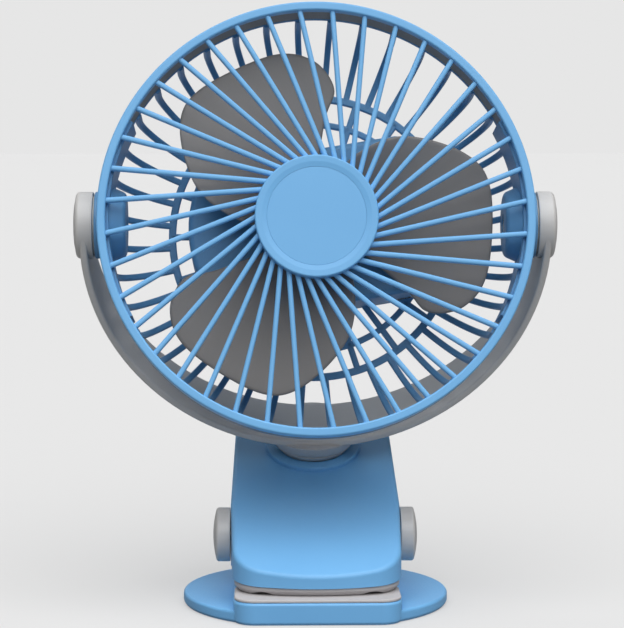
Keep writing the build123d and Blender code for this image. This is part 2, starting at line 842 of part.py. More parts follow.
with BuildPart() as swivel_screw:
    with BuildSketch(swivel_plane.offset(-spindle_end_distance - swivel_plate_thickness)):
        Circle(swivel_screw_head_radius)
    extrude(amount=-swivel_screw_head_height)
    with BuildSketch(swivel_plane.offset(-spindle_end_distance - swivel_plate_thickness)):
        Circle(swivel_screw_radius)
    extrude(amount=swivel_plate_thickness + swivel_screw_length - seat_play)
    with BuildSketch(
        swivel_plane.offset(-spindle_end_distance - swivel_plate_thickness - swivel_screw_head_height)
    ):
        Rectangle(2 * swivel_screw_head_radius, screw_slot_width)
    extrude(amount=screw_slot_depth, mode=Mode.SUBTRACT)
save(swivel_screw, "swivel_screw")

# Pivot hardware on each side: bolt, nut, friction washer and cover cap
boss_outer_x = yoke_disc_inner_x - friction_washer_thickness - 2 * washer_play
bolt_seat_x = yoke_disc_outer_x - pivot_cap_recess - pivot_pocket_depth
nut_seat_x = boss_inner_x + nut_recess + nut_height
cap_dome_radius = (pivot_cap_radius**2 + pivot_cap_rise**2) / (2 * pivot_cap_rise)
cap_dome_x = yoke_disc_outer_x + pivot_cap_rise - cap_dome_radius
for side, hand in ((-1, "left"), (1, "right")):
    with BuildPart() as pivot_bolt:
        with BuildSketch(disc_face(side, bolt_seat_x + washer_play)):
            RegularPolygon(bolt_head_radius, 6)
        extrude(amount=bolt_head_height)
        with BuildSketch(disc_face(side, nut_seat_x - nut_height)):
            Circle(bolt_radius)
        extrude(amount=bolt_seat_x + washer_play - nut_seat_x + nut_height)
    save(pivot_bolt, f"pivot_bolt_{hand}")

    with BuildPart() as pivot_nut:
        with BuildSketch(disc_face(side, nut_seat_x)):
            RegularPolygon(nut_radius, 6)
            Circle(bolt_radius + pressed_play, mode=Mode.SUBTRACT)
        extrude(amount=-nut_height)
    save(pivot_nut, f"pivot_nut_{hand}")

    with BuildPart() as friction_washer:
        with BuildSketch(disc_face(side, boss_outer_x + washer_play)):
            Circle(friction_washer_radius)
            Circle(bolt_radius + running_play, mode=Mode.SUBTRACT)
        extrude(amount=friction_washer_thickness)
    save(friction_washer, f"friction_washer_{hand}")

    with BuildPart() as pivot_cap:
        with BuildSketch(disc_face(side, yoke_disc_outer_x - pivot_cap_recess)):
            Circle(pivot_cap_radius)
        extrude(amount=pivot_cap_recess + pivot_cap_rise)
        with Locations(tilt_point + Vector(side * cap_dome_x, 0, 0)):
            Sphere(cap_dome_radius, mode=Mode.INTERSECT)
    save(pivot_cap, f"pivot_cap_{hand}")

# Front grille: rim, hub and skewed spokes
ring_inner_radius = ring_radius - ring_wall
lap_radius = ring_radius - ring_wall / 2
spoke_start = Vector(
    (hub_radius - hub_wall / 2) * cos(radians(spoke_swirl)),
    -(hub_radius - hub_wall / 2) * sin(radians(spoke_swirl)),
    spoke_hub_front_d - spoke_depth / 2,
)
spoke_run = Vector(ring_radius - ring_wall / 2, 0, spoke_rim_front_d - spoke_depth / 2) - spoke_start
with BuildPart() as spoke:
    with BuildSketch(
        Plane(origin=spoke_start, x_dir=Vector(0, 0, 1).cross(spoke_run), z_dir=spoke_run)
    ) as spoke_section:
        Rectangle(spoke_width, spoke_depth)
        fillet(spoke_section.vertices().group_by(Axis.Y)[-1], spoke_round)
    extrude(amount=spoke_run.length)

with BuildPart(head_plane) as front_grille:
    with BuildSketch(head_radial_plane(0)) as rim_section:
        with BuildLine():
            Polyline(
                (ring_inner_radius, ring_front_d),
                (ring_radius, ring_front_d),
                (ring_radius, ring_rear_d),
                (lap_radius, ring_rear_d),
                (lap_radius, ring_rear_d + ring_lap),
                (ring_inner_radius, ring_rear_d + ring_lap),
                close=True,
            )
        make_face()
        fillet(rim_section.vertices().group_by(Axis.Y)[-1], ring_round)
    revolve(axis=fan_axis)
    with BuildSketch(head_radial_plane(0)) as hub_section:
        with BuildLine():
            badge_radius = dish_radius - dish_slope
            badge_floor_d = hub_front_d - dish_depth - badge_thickness
            Polyline(
                (0, badge_floor_d),
                (badge_radius, badge_floor_d),
                (badge_radius, hub_front_d - dish_depth),
                (dish_radius, hub_front_d),
                (hub_radius, hub_front_d),
                (hub_radius, hub_rear_d),
                (hub_radius - hub_wall, hub_rear_d),
                (hub_radius - hub_wall, badge_floor_d - hub_wall),
                (0, badge_floor_d - hub_wall),
                close=True,
            )
        make_face()
        fillet(hub_section.vertices().group_by(Axis.Y)[-1], hub_edge_round)
    revolve(axis=fan_axis)
    with PolarLocations(0, spoke_count, start_angle=180 / spoke_count):
        add(spoke.part)
save(front_grille, "front_grille")

# Plain disc let into the hub
with BuildPart() as hub_disc:
    with BuildSketch(head_plane.offset(badge_floor_d)):
        Circle(badge_radius - washer_play)
    extrude(amount=badge_thickness)
save(hub_disc, "hub_disc")

# Grey rim band: an upper and a lower arc between the front grille and the rear grille
band_inner_radius = ring_inner_radius + seat_play
band_front_d = ring_rear_d - washer_play


def band_section(angle, inner_radius, rear_d):
    """Section of the rim's side, rabbeted where the front ring laps over it."""
    with BuildSketch(head_radial_plane(angle)) as section:
        with BuildLine():
            Polyline(
                (inner_radius, rear_d),
                (ring_radius, rear_d),
                (ring_radius, band_front_d),
                (lap_radius - seat_play, band_front_d),
                (lap_radius - seat_play, band_front_d + ring_lap),
                (inner_radius, band_front_d + ring_lap),
                close=True,
            )
        make_face()
    return section.sketch


band_gap_angle = moving_play / ring_radius * 180 / pi
with BuildPart() as rim_band:
    for start in (band_end_angle, 180 + band_end_angle):
        revolve(
            band_section(start + band_gap_angle, band_inner_radius, band_rear_d),
            axis=fan_axis,
            revolution_arc=180 - 2 * band_end_angle - 2 * band_gap_angle,
        )
save(rim_band, "rim_band")

# Rear grille: rim, side ears with the pivot bosses, bars, two rings, spokes and the motor pod
rear_rim_d = band_rear_d - rear_rim_depth
pod_floor_d = pod_front_d - pod_wall
bowl_rear_d = pod_floor_d - cell_floor_gap - 2 * cell_radius - cell_cover_gap
bar_root_d = rear_rim_d + rear_rim_depth / 2
bowl_bend = bar_bend_d - bowl_rear_d
rear_ring_radius = ring_radius - ring_wall / 2 - bowl_bend
boss_root_x = ring_radius - ear_wall / 2

# Places inside the pod: the motor in the middle, the cell to one side and the board to the other
cell_x = -motor_radius - cell_motor_gap - cell_radius
cover_post_x = -cell_x - cell_radius - cell_post_gap - cover_post_radius
board_x = cover_post_x + cover_post_radius + board_post_gap + board_width / 2
pod_half_height = cell_length / 2 + cell_end_gap + pod_wall
cover_post_y = pod_half_height - pod_wall - cover_post_radius + cover_post_bite
board_bottom_y = board_end_gap + pod_wall - pod_half_height
cell_corner = sqrt((cell_radius - cell_x) ** 2 + (cell_length / 2) ** 2)
board_corner = sqrt((board_x + board_width / 2) ** 2 + board_bottom_y**2)
pod_radius = max(cell_corner, board_corner) + cell_corner_gap + pod_wall
cover_inner_d = bowl_rear_d - washer_play
switch_stem_rear_d = cover_inner_d + button_flange_thickness
board_rear_d = switch_stem_rear_d + switch_stem_length - switch_stem_depth + switch_body_height
board_front_d = board_rear_d + board_thickness
cover_posts = [(x, y) for x in (-cover_post_x, cover_post_x) for y in (-cover_post_y, cover_post_y)]
board_posts = [(board_x, -board_post_y), (board_x, board_post_y)]
motor_screw_places = [(-motor_screw_circle, 0), (motor_screw_circle, 0)]
cell_plane = Plane(
    origin=tilt_point + pod_right * cell_x + head_forward * (pod_floor_d - cell_floor_gap - cell_radius),
    x_dir=pod_right,
    z_dir=pod_up,
)
socket_plane = Plane(
    origin=tilt_point
    + pod_right * board_x
    - pod_up * pod_half_height
    + head_forward * (board_rear_d - socket_height / 2),
    x_dir=pod_right,
    z_dir=-pod_up,
)

with BuildPart() as rear_bar:
    with BuildSketch(Plane.XZ):
        with BuildLine():
            bend_inside = bowl_bend - bar_thickness
            Polyline(
                (rear_ring_radius + bend_inside, bar_bend_d),
                (rear_ring_radius + bend_inside, bar_root_d),
                (rear_ring_radius + bowl_bend, bar_root_d),
                (rear_ring_radius + bowl_bend, bar_bend_d),
            )
            ThreePointArc(
                (rear_ring_radius + bowl_bend, bar_bend_d),
                (rear_ring_radius + bowl_bend * cos(pi / 4), bar_bend_d - bowl_bend * sin(pi / 4)),
                (rear_ring_radius, bowl_rear_d),
            )
            Line((rear_ring_radius, bowl_rear_d), (rear_ring_radius, bowl_rear_d + bar_thickness))
            ThreePointArc(
                (rear_ring_radius, bowl_rear_d + bar_thickness),
                (rear_ring_radius + bend_inside * cos(pi / 4), bar_bend_d - bend_inside * sin(pi / 4)),
                (rear_ring_radius + bend_inside, bar_bend_d),
            )
        make_face()
    extrude(amount=bar_width / 2, both=True)


def pod_outline(plane, inset):
    """Round pod cut flat above and below, drawn in by an inset."""
    with BuildSketch(plane) as outline:
        Circle(pod_radius - inset)
        Rectangle(2 * pod_radius, 2 * (pod_half_height - inset), mode=Mode.INTERSECT)
        fillet(outline.vertices(), pod_corner)
    return outline.sketch


def flat_ring(radius, width):
    """Ring section at the back of the grille."""
    with BuildSketch(head_radial_plane(0)) as section:
        with Locations((radius, bowl_rear_d)):
            Rectangle(width, bar_thickness, align=(Align.CENTER, Align.MIN))
    return section.sketch


with BuildPart() as pod_body:
    extrude(pod_outline(Plane.XY.offset(bowl_rear_d), 0), amount=pod_front_d - bowl_rear_d)
    fillet(pod_body.faces().sort_by(Axis.Z)[-1].edges(), pod_front_round)

with BuildPart(head_plane) as rear_grille:
    with BuildSketch(head_radial_plane(0)):
        with Locations((ring_inner_radius, rear_rim_d)):
            Rectangle(ring_wall, rear_rim_depth - washer_play, align=(Align.MIN, Align.MIN))
    revolve(axis=fan_axis)
    for start in (-band_end_angle, 180 - band_end_angle):
        revolve(
            band_section(start, ring_radius - ear_wall, ear_rear_d),
            axis=fan_axis,
            revolution_arc=2 * band_end_angle,
        )
    for side in (-1, 1):
        with BuildSketch(tilt_section_plane(side)) as boss_section:
            with BuildLine():
                Polyline(
                    (boss_inner_x, 0),
                    (boss_inner_x, boss_end_radius),
                    (boss_root_x, boss_radius),
                    (boss_root_x, 0),
                    close=True,
                )
            make_face()
            fillet(boss_section.vertices().group_by(Axis.X)[0].sort_by(Axis.Y)[-1], boss_round)
        revolve(axis=tilt_axis)
        with BuildSketch(disc_face(side, nut_seat_x)):
            Circle(yoke_disc_radius)
        extrude(amount=boss_outer_x - nut_seat_x)
    with BuildSketch(head_radial_plane(0)):
        with Locations((ring_inner_radius - moving_play, band_front_d)):
            Rectangle(ring_wall + 2 * moving_play, ring_front_d, align=(Align.MIN, Align.MIN))
        with Locations((ring_inner_radius - moving_play, band_front_d)):
            Rectangle(
                lap_radius - seat_play - ring_inner_radius + moving_play,
                ring_lap,
                align=(Align.MIN, Align.MIN),
                mode=Mode.SUBTRACT,
            )
    revolve(axis=fan_axis, mode=Mode.SUBTRACT)
    with PolarLocations(0, bar_count, start_angle=180 / bar_count):
        add(rear_bar.part)
    revolve(flat_ring(rear_ring_radius, rear_ring_width), axis=fan_axis)
    revolve(flat_ring(inner_ring_radius, inner_ring_width), axis=fan_axis)
    with BuildSketch(head_plane.offset(bowl_rear_d)):
        with PolarLocations(0, inner_spoke_count):
            Rectangle(rear_ring_radius, bar_width, align=(Align.MIN, Align.CENTER))
    extrude(amount=bar_thickness)
    with PolarLocations(0, 1, start_angle=pod_turn):
        add(pod_body.part)
    extrude(
        pod_outline(pod_plane.offset(bowl_rear_d), pod_wall),
        amount=pod_floor_d - bowl_rear_d,
        mode=Mode.SUBTRACT,
    )
    with BuildSketch(pod_plane.offset(pod_floor_d)):
        with Locations(cover_posts):
            Circle(cover_post_radius)
    extrude(amount=bowl_rear_d - pod_floor_d)
    with BuildSketch(pod_plane.offset(pod_floor_d)):
        with Locations(board_posts):
            Circle(board_post_radius)
    extrude(amount=board_front_d - pod_floor_d)
    with BuildSketch(pod_plane.offset(pod_floor_d)):
        with Locations((cell_x, -cell_rib_y), (cell_x, cell_rib_y)):
            Rectangle(2 * (cell_radius + pod_wall), pod_wall)
    extrude(amount=-cell_rib_height)
    with BuildSketch(cell_plane):
        Circle(cell_radius + seat_play)
    extrude(amount=cell_length / 2, both=True, mode=Mode.SUBTRACT)
    with BuildSketch(pod_plane.offset(bowl_rear_d)):
        with Locations(cover_posts):
            Circle(screw_radius + pressed_play)
    extrude(amount=screw_length, mode=Mode.SUBTRACT)
    with BuildSketch(pod_plane.offset(board_front_d)):
        with Locations(board_posts):
            Circle(screw_radius + pressed_play)
    extrude(amount=screw_length, mode=Mode.SUBTRACT)
    with BuildSketch(pod_plane.offset(pod_floor_d)):
        Circle(motor_nose_radius + seat_play)
        with Locations(motor_screw_places):
            Circle(screw_radius + screw_hole_play)
    extrude(amount=pod_wall, mode=Mode.SUBTRACT)
    with BuildSketch(pod_plane.offset(pod_front_d)):
        with Locations(motor_screw_places):
            Circle(screw_head_radius + seat_play)
    extrude(amount=-screw_head_height, mode=Mode.SUBTRACT)
    with BuildSketch(socket_plane):
        RectangleRounded(
            socket_width + 2 * seat_play,
            socket_height + 2 * seat_play,
            socket_round + seat_play,
        )
    extrude(amount=2 * pod_wall, both=True, mode=Mode.SUBTRACT)
    for side in (-1, 1):
        with BuildSketch(disc_face(side, boss_inner_x)):
            Circle(bolt_radius + pressed_play)
        extrude(amount=boss_outer_x, mode=Mode.SUBTRACT)
        with BuildSketch(disc_face(side, boss_inner_x)):
            RegularPolygon(nut_radius + seat_play, 6)
        extrude(amount=nut_seat_x - boss_inner_x, mode=Mode.SUBTRACT)
save(rear_grille, "rear_grille")

# Cover that closes the pod from behind
cover_rear_d = bowl_rear_d - pod_cover_thickness
with BuildPart() as pod_cover:
    extrude(pod_outline(pod_plane.offset(cover_rear_d), 0), amount=pod_cover_thickness - washer_play)
    fillet(pod_cover.faces().sort_by(fan_axis)[0].edges(), pod_cover_round)
    extrude(
        pod_outline(pod_plane.offset(cover_inner_d), pod_wall + seat_play),
        amount=pod_cover_lip,
    )
    extrude(
        pod_outline(pod_plane.offset(cover_inner_d), pod_wall + seat_play + pod_lip_wall),
        amount=pod_cover_lip,
        mode=Mode.SUBTRACT,
    )
    with BuildSketch(pod_plane.offset(cover_inner_d)):
        with Locations(cover_posts):
            Circle(cover_post_radius + seat_play)
    extrude(amount=pod_cover_lip, mode=Mode.SUBTRACT)
    with BuildSketch(pod_plane.offset(cover_rear_d)):
        with Locations(cover_posts):
            Circle(screw_radius + screw_hole_play)
        with Locations((board_x, button_y)):
            Circle(button_radius + moving_play)
        with Locations((board_x, light_y)):
            Circle(light_radius + washer_play)
    extrude(amount=pod_cover_thickness, mode=Mode.SUBTRACT)
    with BuildSketch(pod_plane.offset(cover_rear_d)):
        with Locations(cover_posts):
            Circle(screw_head_radius + seat_play)
    extrude(amount=screw_head_height, mode=Mode.SUBTRACT)
save(pod_cover, "pod_cover")

cover_face = pod_plane.offset(cover_rear_d)
save(slotted_screws(cover_face, cover_posts, screw_length), "pod_cover_screws")

# Motor: can with a nose in the pod's front wall, end cap, bearings and screws
motor_rear_d = pod_floor_d - motor_length
bearing_front_d = pod_floor_d + motor_nose_length
with BuildPart() as motor_can:
    with BuildSketch(head_radial_plane(0)):
        with BuildLine():
            Polyline(
                (bearing_radius + pressed_play, bearing_front_d),
                (motor_nose_radius, bearing_front_d),
                (motor_nose_radius, pod_floor_d),
                (motor_radius, pod_floor_d),
                (motor_radius, motor_rear_d),
                (motor_radius - motor_wall, motor_rear_d),
                (motor_radius - motor_wall, pod_floor_d - motor_wall),
                (bearing_radius + pressed_play, pod_floor_d - motor_wall),
                close=True,
            )
        make_face()
    revolve(axis=fan_axis)
    with BuildSketch(pod_plane.offset(pod_floor_d)):
        with Locations(motor_screw_places):
            Circle(screw_radius + pressed_play)
    extrude(amount=-motor_wall, mode=Mode.SUBTRACT)
save(motor_can, "motor_can")

with BuildPart() as motor_end_cap:
    with BuildSketch(pod_plane.offset(motor_rear_d)):
        Circle(motor_radius)
        Circle(bearing_radius + pressed_play, mode=Mode.SUBTRACT)
    extrude(amount=-end_cap_thickness)
    with BuildSketch(pod_plane.offset(motor_rear_d)):
        Circle(motor_radius - motor_wall - pressed_play)
        Circle(motor_radius - 2 * motor_wall, mode=Mode.SUBTRACT)
    extrude(amount=motor_wall)
save(motor_end_cap, "motor_end_cap")

end_cap_rear_d = motor_rear_d - end_cap_thickness
for front_d, place in ((bearing_front_d, "front"), (end_cap_rear_d + bearing_length, "rear")):
    with BuildPart() as motor_bearing:
        with BuildSketch(pod_plane.offset(front_d)):
            Circle(bearing_radius)
            Circle(shaft_radius + running_play, mode=Mode.SUBTRACT)
        extrude(amount=-bearing_length)
    save(motor_bearing, f"motor_bearing_{place}")

pod_front_face = Plane(
    origin=tilt_point + head_forward * pod_front_d,
    x_dir=pod_right,
    z_dir=-head_forward,
)
motor_screw_length = pod_wall - screw_head_height + motor_wall
save(slotted_screws(pod_front_face, motor_screw_places, motor_screw_length), "motor_screws")

# Battery cell, circuit board with its screws, switch, socket and light
with BuildPart() as battery_cell:
    with BuildSketch(cell_plane):
        Circle(cell_radius)
    extrude(amount=cell_length / 2, both=True)
    fillet(battery_cell.edges().filter_by(GeomType.CIRCLE), cell_edge_round)
save(battery_cell, "battery_cell")

with BuildPart() as circuit_board:
    with BuildSketch(pod_plane.offset(board_front_d)):
        with Locations((board_x, (board_top_y + board_bottom_y) / 2)):
            Rectangle(board_width, board_top_y - board_bottom_y)
        with Locations(board_posts):
            Circle(screw_radius + screw_hole_play, mode=Mode.SUBTRACT)
    extrude(amount=-board_thickness)
save(circuit_board, "circuit_board")

board_screw_face = pod_plane.offset(board_rear_d - screw_head_height)
save(slotted_screws(board_screw_face, board_posts, screw_length - board_thickness), "board_screws")

with BuildPart() as tact_switch:
    with BuildSketch(pod_plane.offset(board_rear_d)):
        with Locations((board_x, button_y)):
            Rectangle(switch_width, switch_width)
    extrude(amount=-switch_body_height)
    with BuildSketch(pod_plane.offset(board_rear_d - switch_body_height)):
        with Locations((board_x, button_y)):
            Circle(switch_stem_radius + moving_play)
    extrude(amount=switch_stem_depth + button_travel + moving_play, mode=Mode.SUBTRACT)
save(tact_switch, "tact_switch")

with BuildPart() as switch_stem:
    with BuildSketch(pod_plane.offset(switch_stem_rear_d)):
        with Locations((board_x, button_y)):
            Circle(switch_stem_radius)
    extrude(amount=switch_stem_length)
save(switch_stem, "switch_stem")

with BuildPart() as power_button:
    with BuildSketch(pod_plane.offset(cover_rear_d - button_proud)):
        with Locations((board_x, button_y)):
            Circle(button_radius)
    extrude(amount=cover_inner_d - cover_rear_d + button_proud)
    fillet(power_button.faces().sort_by(fan_axis)[0].edges(), button_round)
    with BuildSketch(pod_plane.offset(cover_inner_d)):
        with Locations((board_x, button_y)):
            Circle(button_flange_radius)
    extrude(amount=button_flange_thickness)
save(power_button, "power_button")

with BuildPart() as charge_light:
    with BuildSketch(pod_plane.offset(cover_rear_d - light_proud)):
        with Locations((board_x, light_y)):
            Circle(light_radius)
    extrude(amount=board_rear_d - cover_rear_d + light_proud)
    with BuildSketch(pod_plane.offset(cover_inner_d)):
        with Locations((board_x, light_y)):
            Circle(light_flange_radius)
    extrude(amount=light_flange_thickness)
save(charge_light, "charge_light")

with BuildPart() as charge_socket:
    with BuildSketch(socket_plane):
        RectangleRounded(socket_width, socket_height, socket_round)
    extrude(amount=-socket_length)
    with BuildSketch(socket_plane):
        RectangleRounded(
            socket_width - 2 * socket_wall,
            socket_height - 2 * socket_wall,
            socket_round - socket_wall,
        )
    extrude(amount=socket_wall - socket_length, mode=Mode.SUBTRACT)
    with BuildSketch(socket_plane.offset(-socket_length)):
        Rectangle(socket_tongue_width, socket_tongue_thickness)
    extrude(amount=socket_tongue_length)
save(charge_socket, "charge_socket")

# Rotor: three wide petals on a hub, with the shaft, armature and nut
blade_middle_d = (blade_rear_d + blade_front_d) / 2 - blade_camber
petal_points = [
    (share * blade_tip_radius * cos(radians(angle)), share * blade_tip_radius * sin(radians(angle)))
    for share, angle in petal_outline
]
with BuildPart() as blade:
    for distance, half_chord in (
        (0, blade_root_half_chord),
        (blade_tip_radius + blade_thickness, blade_tip_half_chord),
    ):
        with BuildSketch(Plane.YZ.offset(distance)):
            with BuildLine():
                ThreePointArc(
                    (-half_chord, blade_rear_d),
                    (0, blade_middle_d),
                    (half_chord, blade_front_d),
                )
                Line((half_chord, blade_front_d), (half_chord, blade_front_d + blade_thickness))
                ThreePointArc(
                    (half_chord, blade_front_d + blade_thickness),
                    (0, blade_middle_d + blade_thickness),
                    (-half_chord, blade_rear_d + blade_thickness),
                )
                Line((-half_chord, blade_rear_d + blade_thickness), (-half_chord, blade_rear_d))
            make_face()
    loft(ruled=True)
    with BuildSketch(Plane.XY.offset(blade_rear_d - blade_camber)):
        with BuildLine():
            Spline(petal_points)
            Line(petal_points[-1], petal_points[0])
        make_face()
    extrude(amount=blade_front_d - blade_rear_d + 2 * (blade_camber + blade_thickness), mode=Mode.INTERSECT)

with BuildPart(head_plane) as fan_blade:
    with BuildSketch(head_plane.offset(blade_hub_rear_d)):
        Circle(blade_hub_radius)
    extrude(amount=blade_hub_front_d - blade_hub_rear_d)
    fillet(fan_blade.faces().sort_by(fan_axis)[-1].edges(), blade_hub_round)
    with PolarLocations(0, blade_count, start_angle=blade_centre_angle):
        add(blade.part)
    with BuildSketch(head_plane.offset(blade_hub_rear_d)):
        Circle(blade_hub_radius - blade_hub_wall)
        Circle(blade_boss_radius, mode=Mode.SUBTRACT)
    extrude(amount=blade_hub_front_d - blade_hub_wall - blade_hub_rear_d, mode=Mode.SUBTRACT)
    with BuildSketch(head_plane.offset(blade_hub_rear_d)):
        Circle(shaft_radius + pressed_play)
    extrude(amount=blade_hub_front_d - blade_hub_rear_d, mode=Mode.SUBTRACT)
save(fan_blade, "fan_blade")

shaft_rear_d = end_cap_rear_d + shaft_end_play
shaft_front_d = blade_hub_front_d + blade_nut_height - shaft_end_play
with BuildPart() as motor_shaft:
    with BuildSketch(head_plane.offset(shaft_rear_d)):
        Circle(shaft_radius)
    extrude(amount=shaft_front_d - shaft_rear_d)
save(motor_shaft, "motor_shaft")

armature_rear_d = (pod_floor_d - motor_wall + motor_rear_d) / 2 - armature_length / 2
with BuildPart() as motor_armature:
    with BuildSketch(head_plane.offset(armature_rear_d)):
        Circle(armature_radius)
        Circle(shaft_radius + pressed_play, mode=Mode.SUBTRACT)
        with PolarLocations(armature_radius, armature_poles):
            Rectangle(armature_slot_depth, armature_slot_width, mode=Mode.SUBTRACT)
    extrude(amount=armature_length)
save(motor_armature, "motor_armature")

with BuildPart() as blade_nut:
    with BuildSketch(head_plane.offset(blade_hub_front_d)):
        RegularPolygon(blade_nut_radius, 6)
        Circle(shaft_radius + pressed_play, mode=Mode.SUBTRACT)
    extrude(amount=blade_nut_height)
save(blade_nut, "blade_nut")
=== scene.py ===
import bmesh
import bpy
import json
from math import asin, atan2, cos, degrees, radians, sin, sqrt, tan
from mathutils import Matrix, Vector
from mathutils.geometry import intersect_line_line_2d, intersect_sphere_sphere_2d


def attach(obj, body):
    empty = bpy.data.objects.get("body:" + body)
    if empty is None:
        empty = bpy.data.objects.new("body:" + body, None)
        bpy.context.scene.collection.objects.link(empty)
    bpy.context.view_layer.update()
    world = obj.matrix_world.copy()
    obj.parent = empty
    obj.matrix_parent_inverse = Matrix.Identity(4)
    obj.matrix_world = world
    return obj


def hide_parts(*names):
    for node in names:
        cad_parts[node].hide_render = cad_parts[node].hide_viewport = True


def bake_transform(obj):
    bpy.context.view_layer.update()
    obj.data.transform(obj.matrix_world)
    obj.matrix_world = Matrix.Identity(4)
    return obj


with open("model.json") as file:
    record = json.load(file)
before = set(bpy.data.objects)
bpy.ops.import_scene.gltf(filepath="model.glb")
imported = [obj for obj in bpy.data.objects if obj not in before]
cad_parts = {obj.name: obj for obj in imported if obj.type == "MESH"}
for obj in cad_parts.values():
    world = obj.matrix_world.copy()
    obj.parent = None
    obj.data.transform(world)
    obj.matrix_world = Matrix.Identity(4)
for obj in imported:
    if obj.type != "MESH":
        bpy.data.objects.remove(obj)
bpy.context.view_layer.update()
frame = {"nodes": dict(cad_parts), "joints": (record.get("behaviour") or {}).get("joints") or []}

# Anti-slip mat: a disc die-cut from soft rubber sheet, straight at the front, stuck into a shallow recess
# under the base. Only a dark line of it shows between the base and the table.
table_frame = Matrix.Scale(0.001, 4)
mat_radius = 37.0
mat_front_y = -34.5
mat_thickness = 1.0
mat_edge = 0.2


def linear(code):
    """Linear colour of a written sRGB hex code."""
    parts = [int(code[i : i + 2], 16) / 255 for i in (1, 3, 5)]
    return [p / 12.92 if p <= 0.04045 else ((p + 0.055) / 1.055) ** 2.4 for p in parts] + [1.0]


def add_node(tree, kind, settings, inputs):
    """One node of a tree: its properties, and its inputs as values or as sockets to link."""
    node = tree.nodes.new(kind)
    for name, value in settings.items():
        setattr(node, name, value)
    for key, value in inputs.items():
        if isinstance(value, bpy.types.NodeSocket):
            tree.links.new(value, node.inputs[key])
        else:
            node.inputs[key].default_value = value
    return node


def surface(name, dark, light, cloud_mm, smooth, rough, grain_mm, relief_mm, sockets):
    """Material whose colour drifts in soft clouds and whose fine grain sets gloss and relief."""
    material = bpy.data.materials.new(name)
    material.use_nodes = True
    tree = material.node_tree
    tree.nodes.clear()
    place = add_node(tree, "ShaderNodeTexCoord", {}, {}).outputs["Object"]
    cloud = add_node(
        tree, "ShaderNodeTexNoise", {}, {"Vector": place, "Scale": 1000 / cloud_mm, "Detail": 3.0}
    )
    tone = add_node(
        tree,
        "ShaderNodeMix",
        {"data_type": "RGBA"},
        {"Factor": cloud.outputs["Fac"], 6: linear(dark), 7: linear(light)},
    )
    grain = add_node(
        tree, "ShaderNodeTexNoise", {}, {"Vector": place, "Scale": 1000 / grain_mm, "Detail": 2.0}
    )
    gloss = add_node(
        tree,
        "ShaderNodeMapRange",
        {},
        {"Value": grain.outputs["Fac"], "From Min": 0.3, "From Max": 0.7, "To Min": smooth, "To Max": rough},
    )
    relief = add_node(
        tree,
        "ShaderNodeBump",
        {},
        {"Height": grain.outputs["Fac"], "Distance": relief_mm / 1000, "Strength": 1.0},
    )
    shader = add_node(
        tree,
        "ShaderNodeBsdfPrincipled",
        {},
        {
            "Base Color": tone.outputs[2],
            "Roughness": gloss.outputs["Result"],
            "Normal": relief.outputs["Normal"],
            **sockets,
        },
    )
    add_node(tree, "ShaderNodeOutputMaterial", {}, {"Surface": shader.outputs["BSDF"]})
    return material


def skin(bm, rings, place, round_trip=False):
    """Surface through closed rings of equal count; it joins up with itself, or both ends are capped."""
    made = [[bm.verts.new(place @ Vector(point)) for point in ring] for ring in rings]
    for k in range(0 if round_trip else 1, len(made)):
        first, second = made[k - 1], made[k]
        for i in range(len(first)):
            bm.faces.new((first[i - 1], first[i], second[i], second[i - 1]))
    if not round_trip:
        bm.faces.new(made[0])
        bm.faces.new(made[-1])


def settle(name, bm, material, body, slot, *replaced):
    """Finished mesh as a piece: welded, smooth between its edges, and riding on its body if it has one."""
    bmesh.ops.remove_doubles(bm, verts=bm.verts, dist=1e-7)
    bmesh.ops.delete(bm, geom=[edge for edge in bm.edges if not edge.link_faces], context="EDGES")
    bmesh.ops.recalc_face_normals(bm, faces=bm.faces)
    mesh = bpy.data.meshes.new(name)
    bm.to_mesh(mesh)
    bm.free()
    mesh.materials.clear()
    mesh.materials.append(material)
    mesh.polygons.foreach_set("material_index", [0] * len(mesh.polygons))
    mesh.polygons.foreach_set("use_smooth", [True] * len(mesh.polygons))
    mesh.set_sharp_from_angle(angle=radians(38))
    piece = bpy.data.objects.new(name, mesh)
    bpy.context.scene.collection.objects.link(piece)
    piece.modifiers.new("even shading", "WEIGHTED_NORMAL").keep_sharp = True
    if body:
        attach(piece, body)
    if replaced:
        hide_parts(*replaced)
    return piece


def edge_steps(low, high, rounding):
    """Insets and heights of a plate from its underside to its top, with both edges rounded."""
    turn = [radians(15 * k) for k in range(7)]
    return [(rounding * (1 - sin(a)), low + rounding * (1 - cos(a))) for a in turn] + [
        (rounding * (1 - sin(a)), high - rounding * (1 - cos(a))) for a in reversed(turn)
    ]


def inset(outline, amount):
    """Outline, drawn counter-clockwise, moved inward by an amount."""
    moved = []
    for k, point in enumerate(outline):
        before = (point - outline[k - 1]).normalized()
        after = (outline[(k + 1) % len(outline)] - point).normalized()
        inward = Vector((-before.y - after.y, before.x + after.x)).normalized()
        moved.append(point + inward * amount / max(0.3, inward.dot(Vector((-before.y, before.x)))))
    return moved


def plate(bm, outline, steps, place):
    """Flat piece with an outline from above and a list of insets and heights."""
    skin(bm, [[(p.x, p.y, z) for p in inset(outline, amount)] for amount, z in steps], place)


def cut_disc(radius, front_y):
    """Circle whose front is cut straight."""
    return [
        Vector((radius * cos(radians(3 * k)), max(front_y, radius * sin(radians(3 * k)))))
        for k in range(120)
    ]


# Soft black rubber: matt, with a fine pebbled skin that breaks up the light
mat_rubber = surface("soft black rubber", "#242425", "#2c2c2d", 6.0, 0.75, 0.95, 0.7, 0.05, {})
bm = bmesh.new()
plate(bm, cut_disc(mat_radius, mat_front_y), edge_steps(0.0, mat_thickness, mat_edge), table_frame)
settle("anti_slip_mat_sheet", bm, mat_rubber, "base", "mat_rubber", "anti_slip_mat")

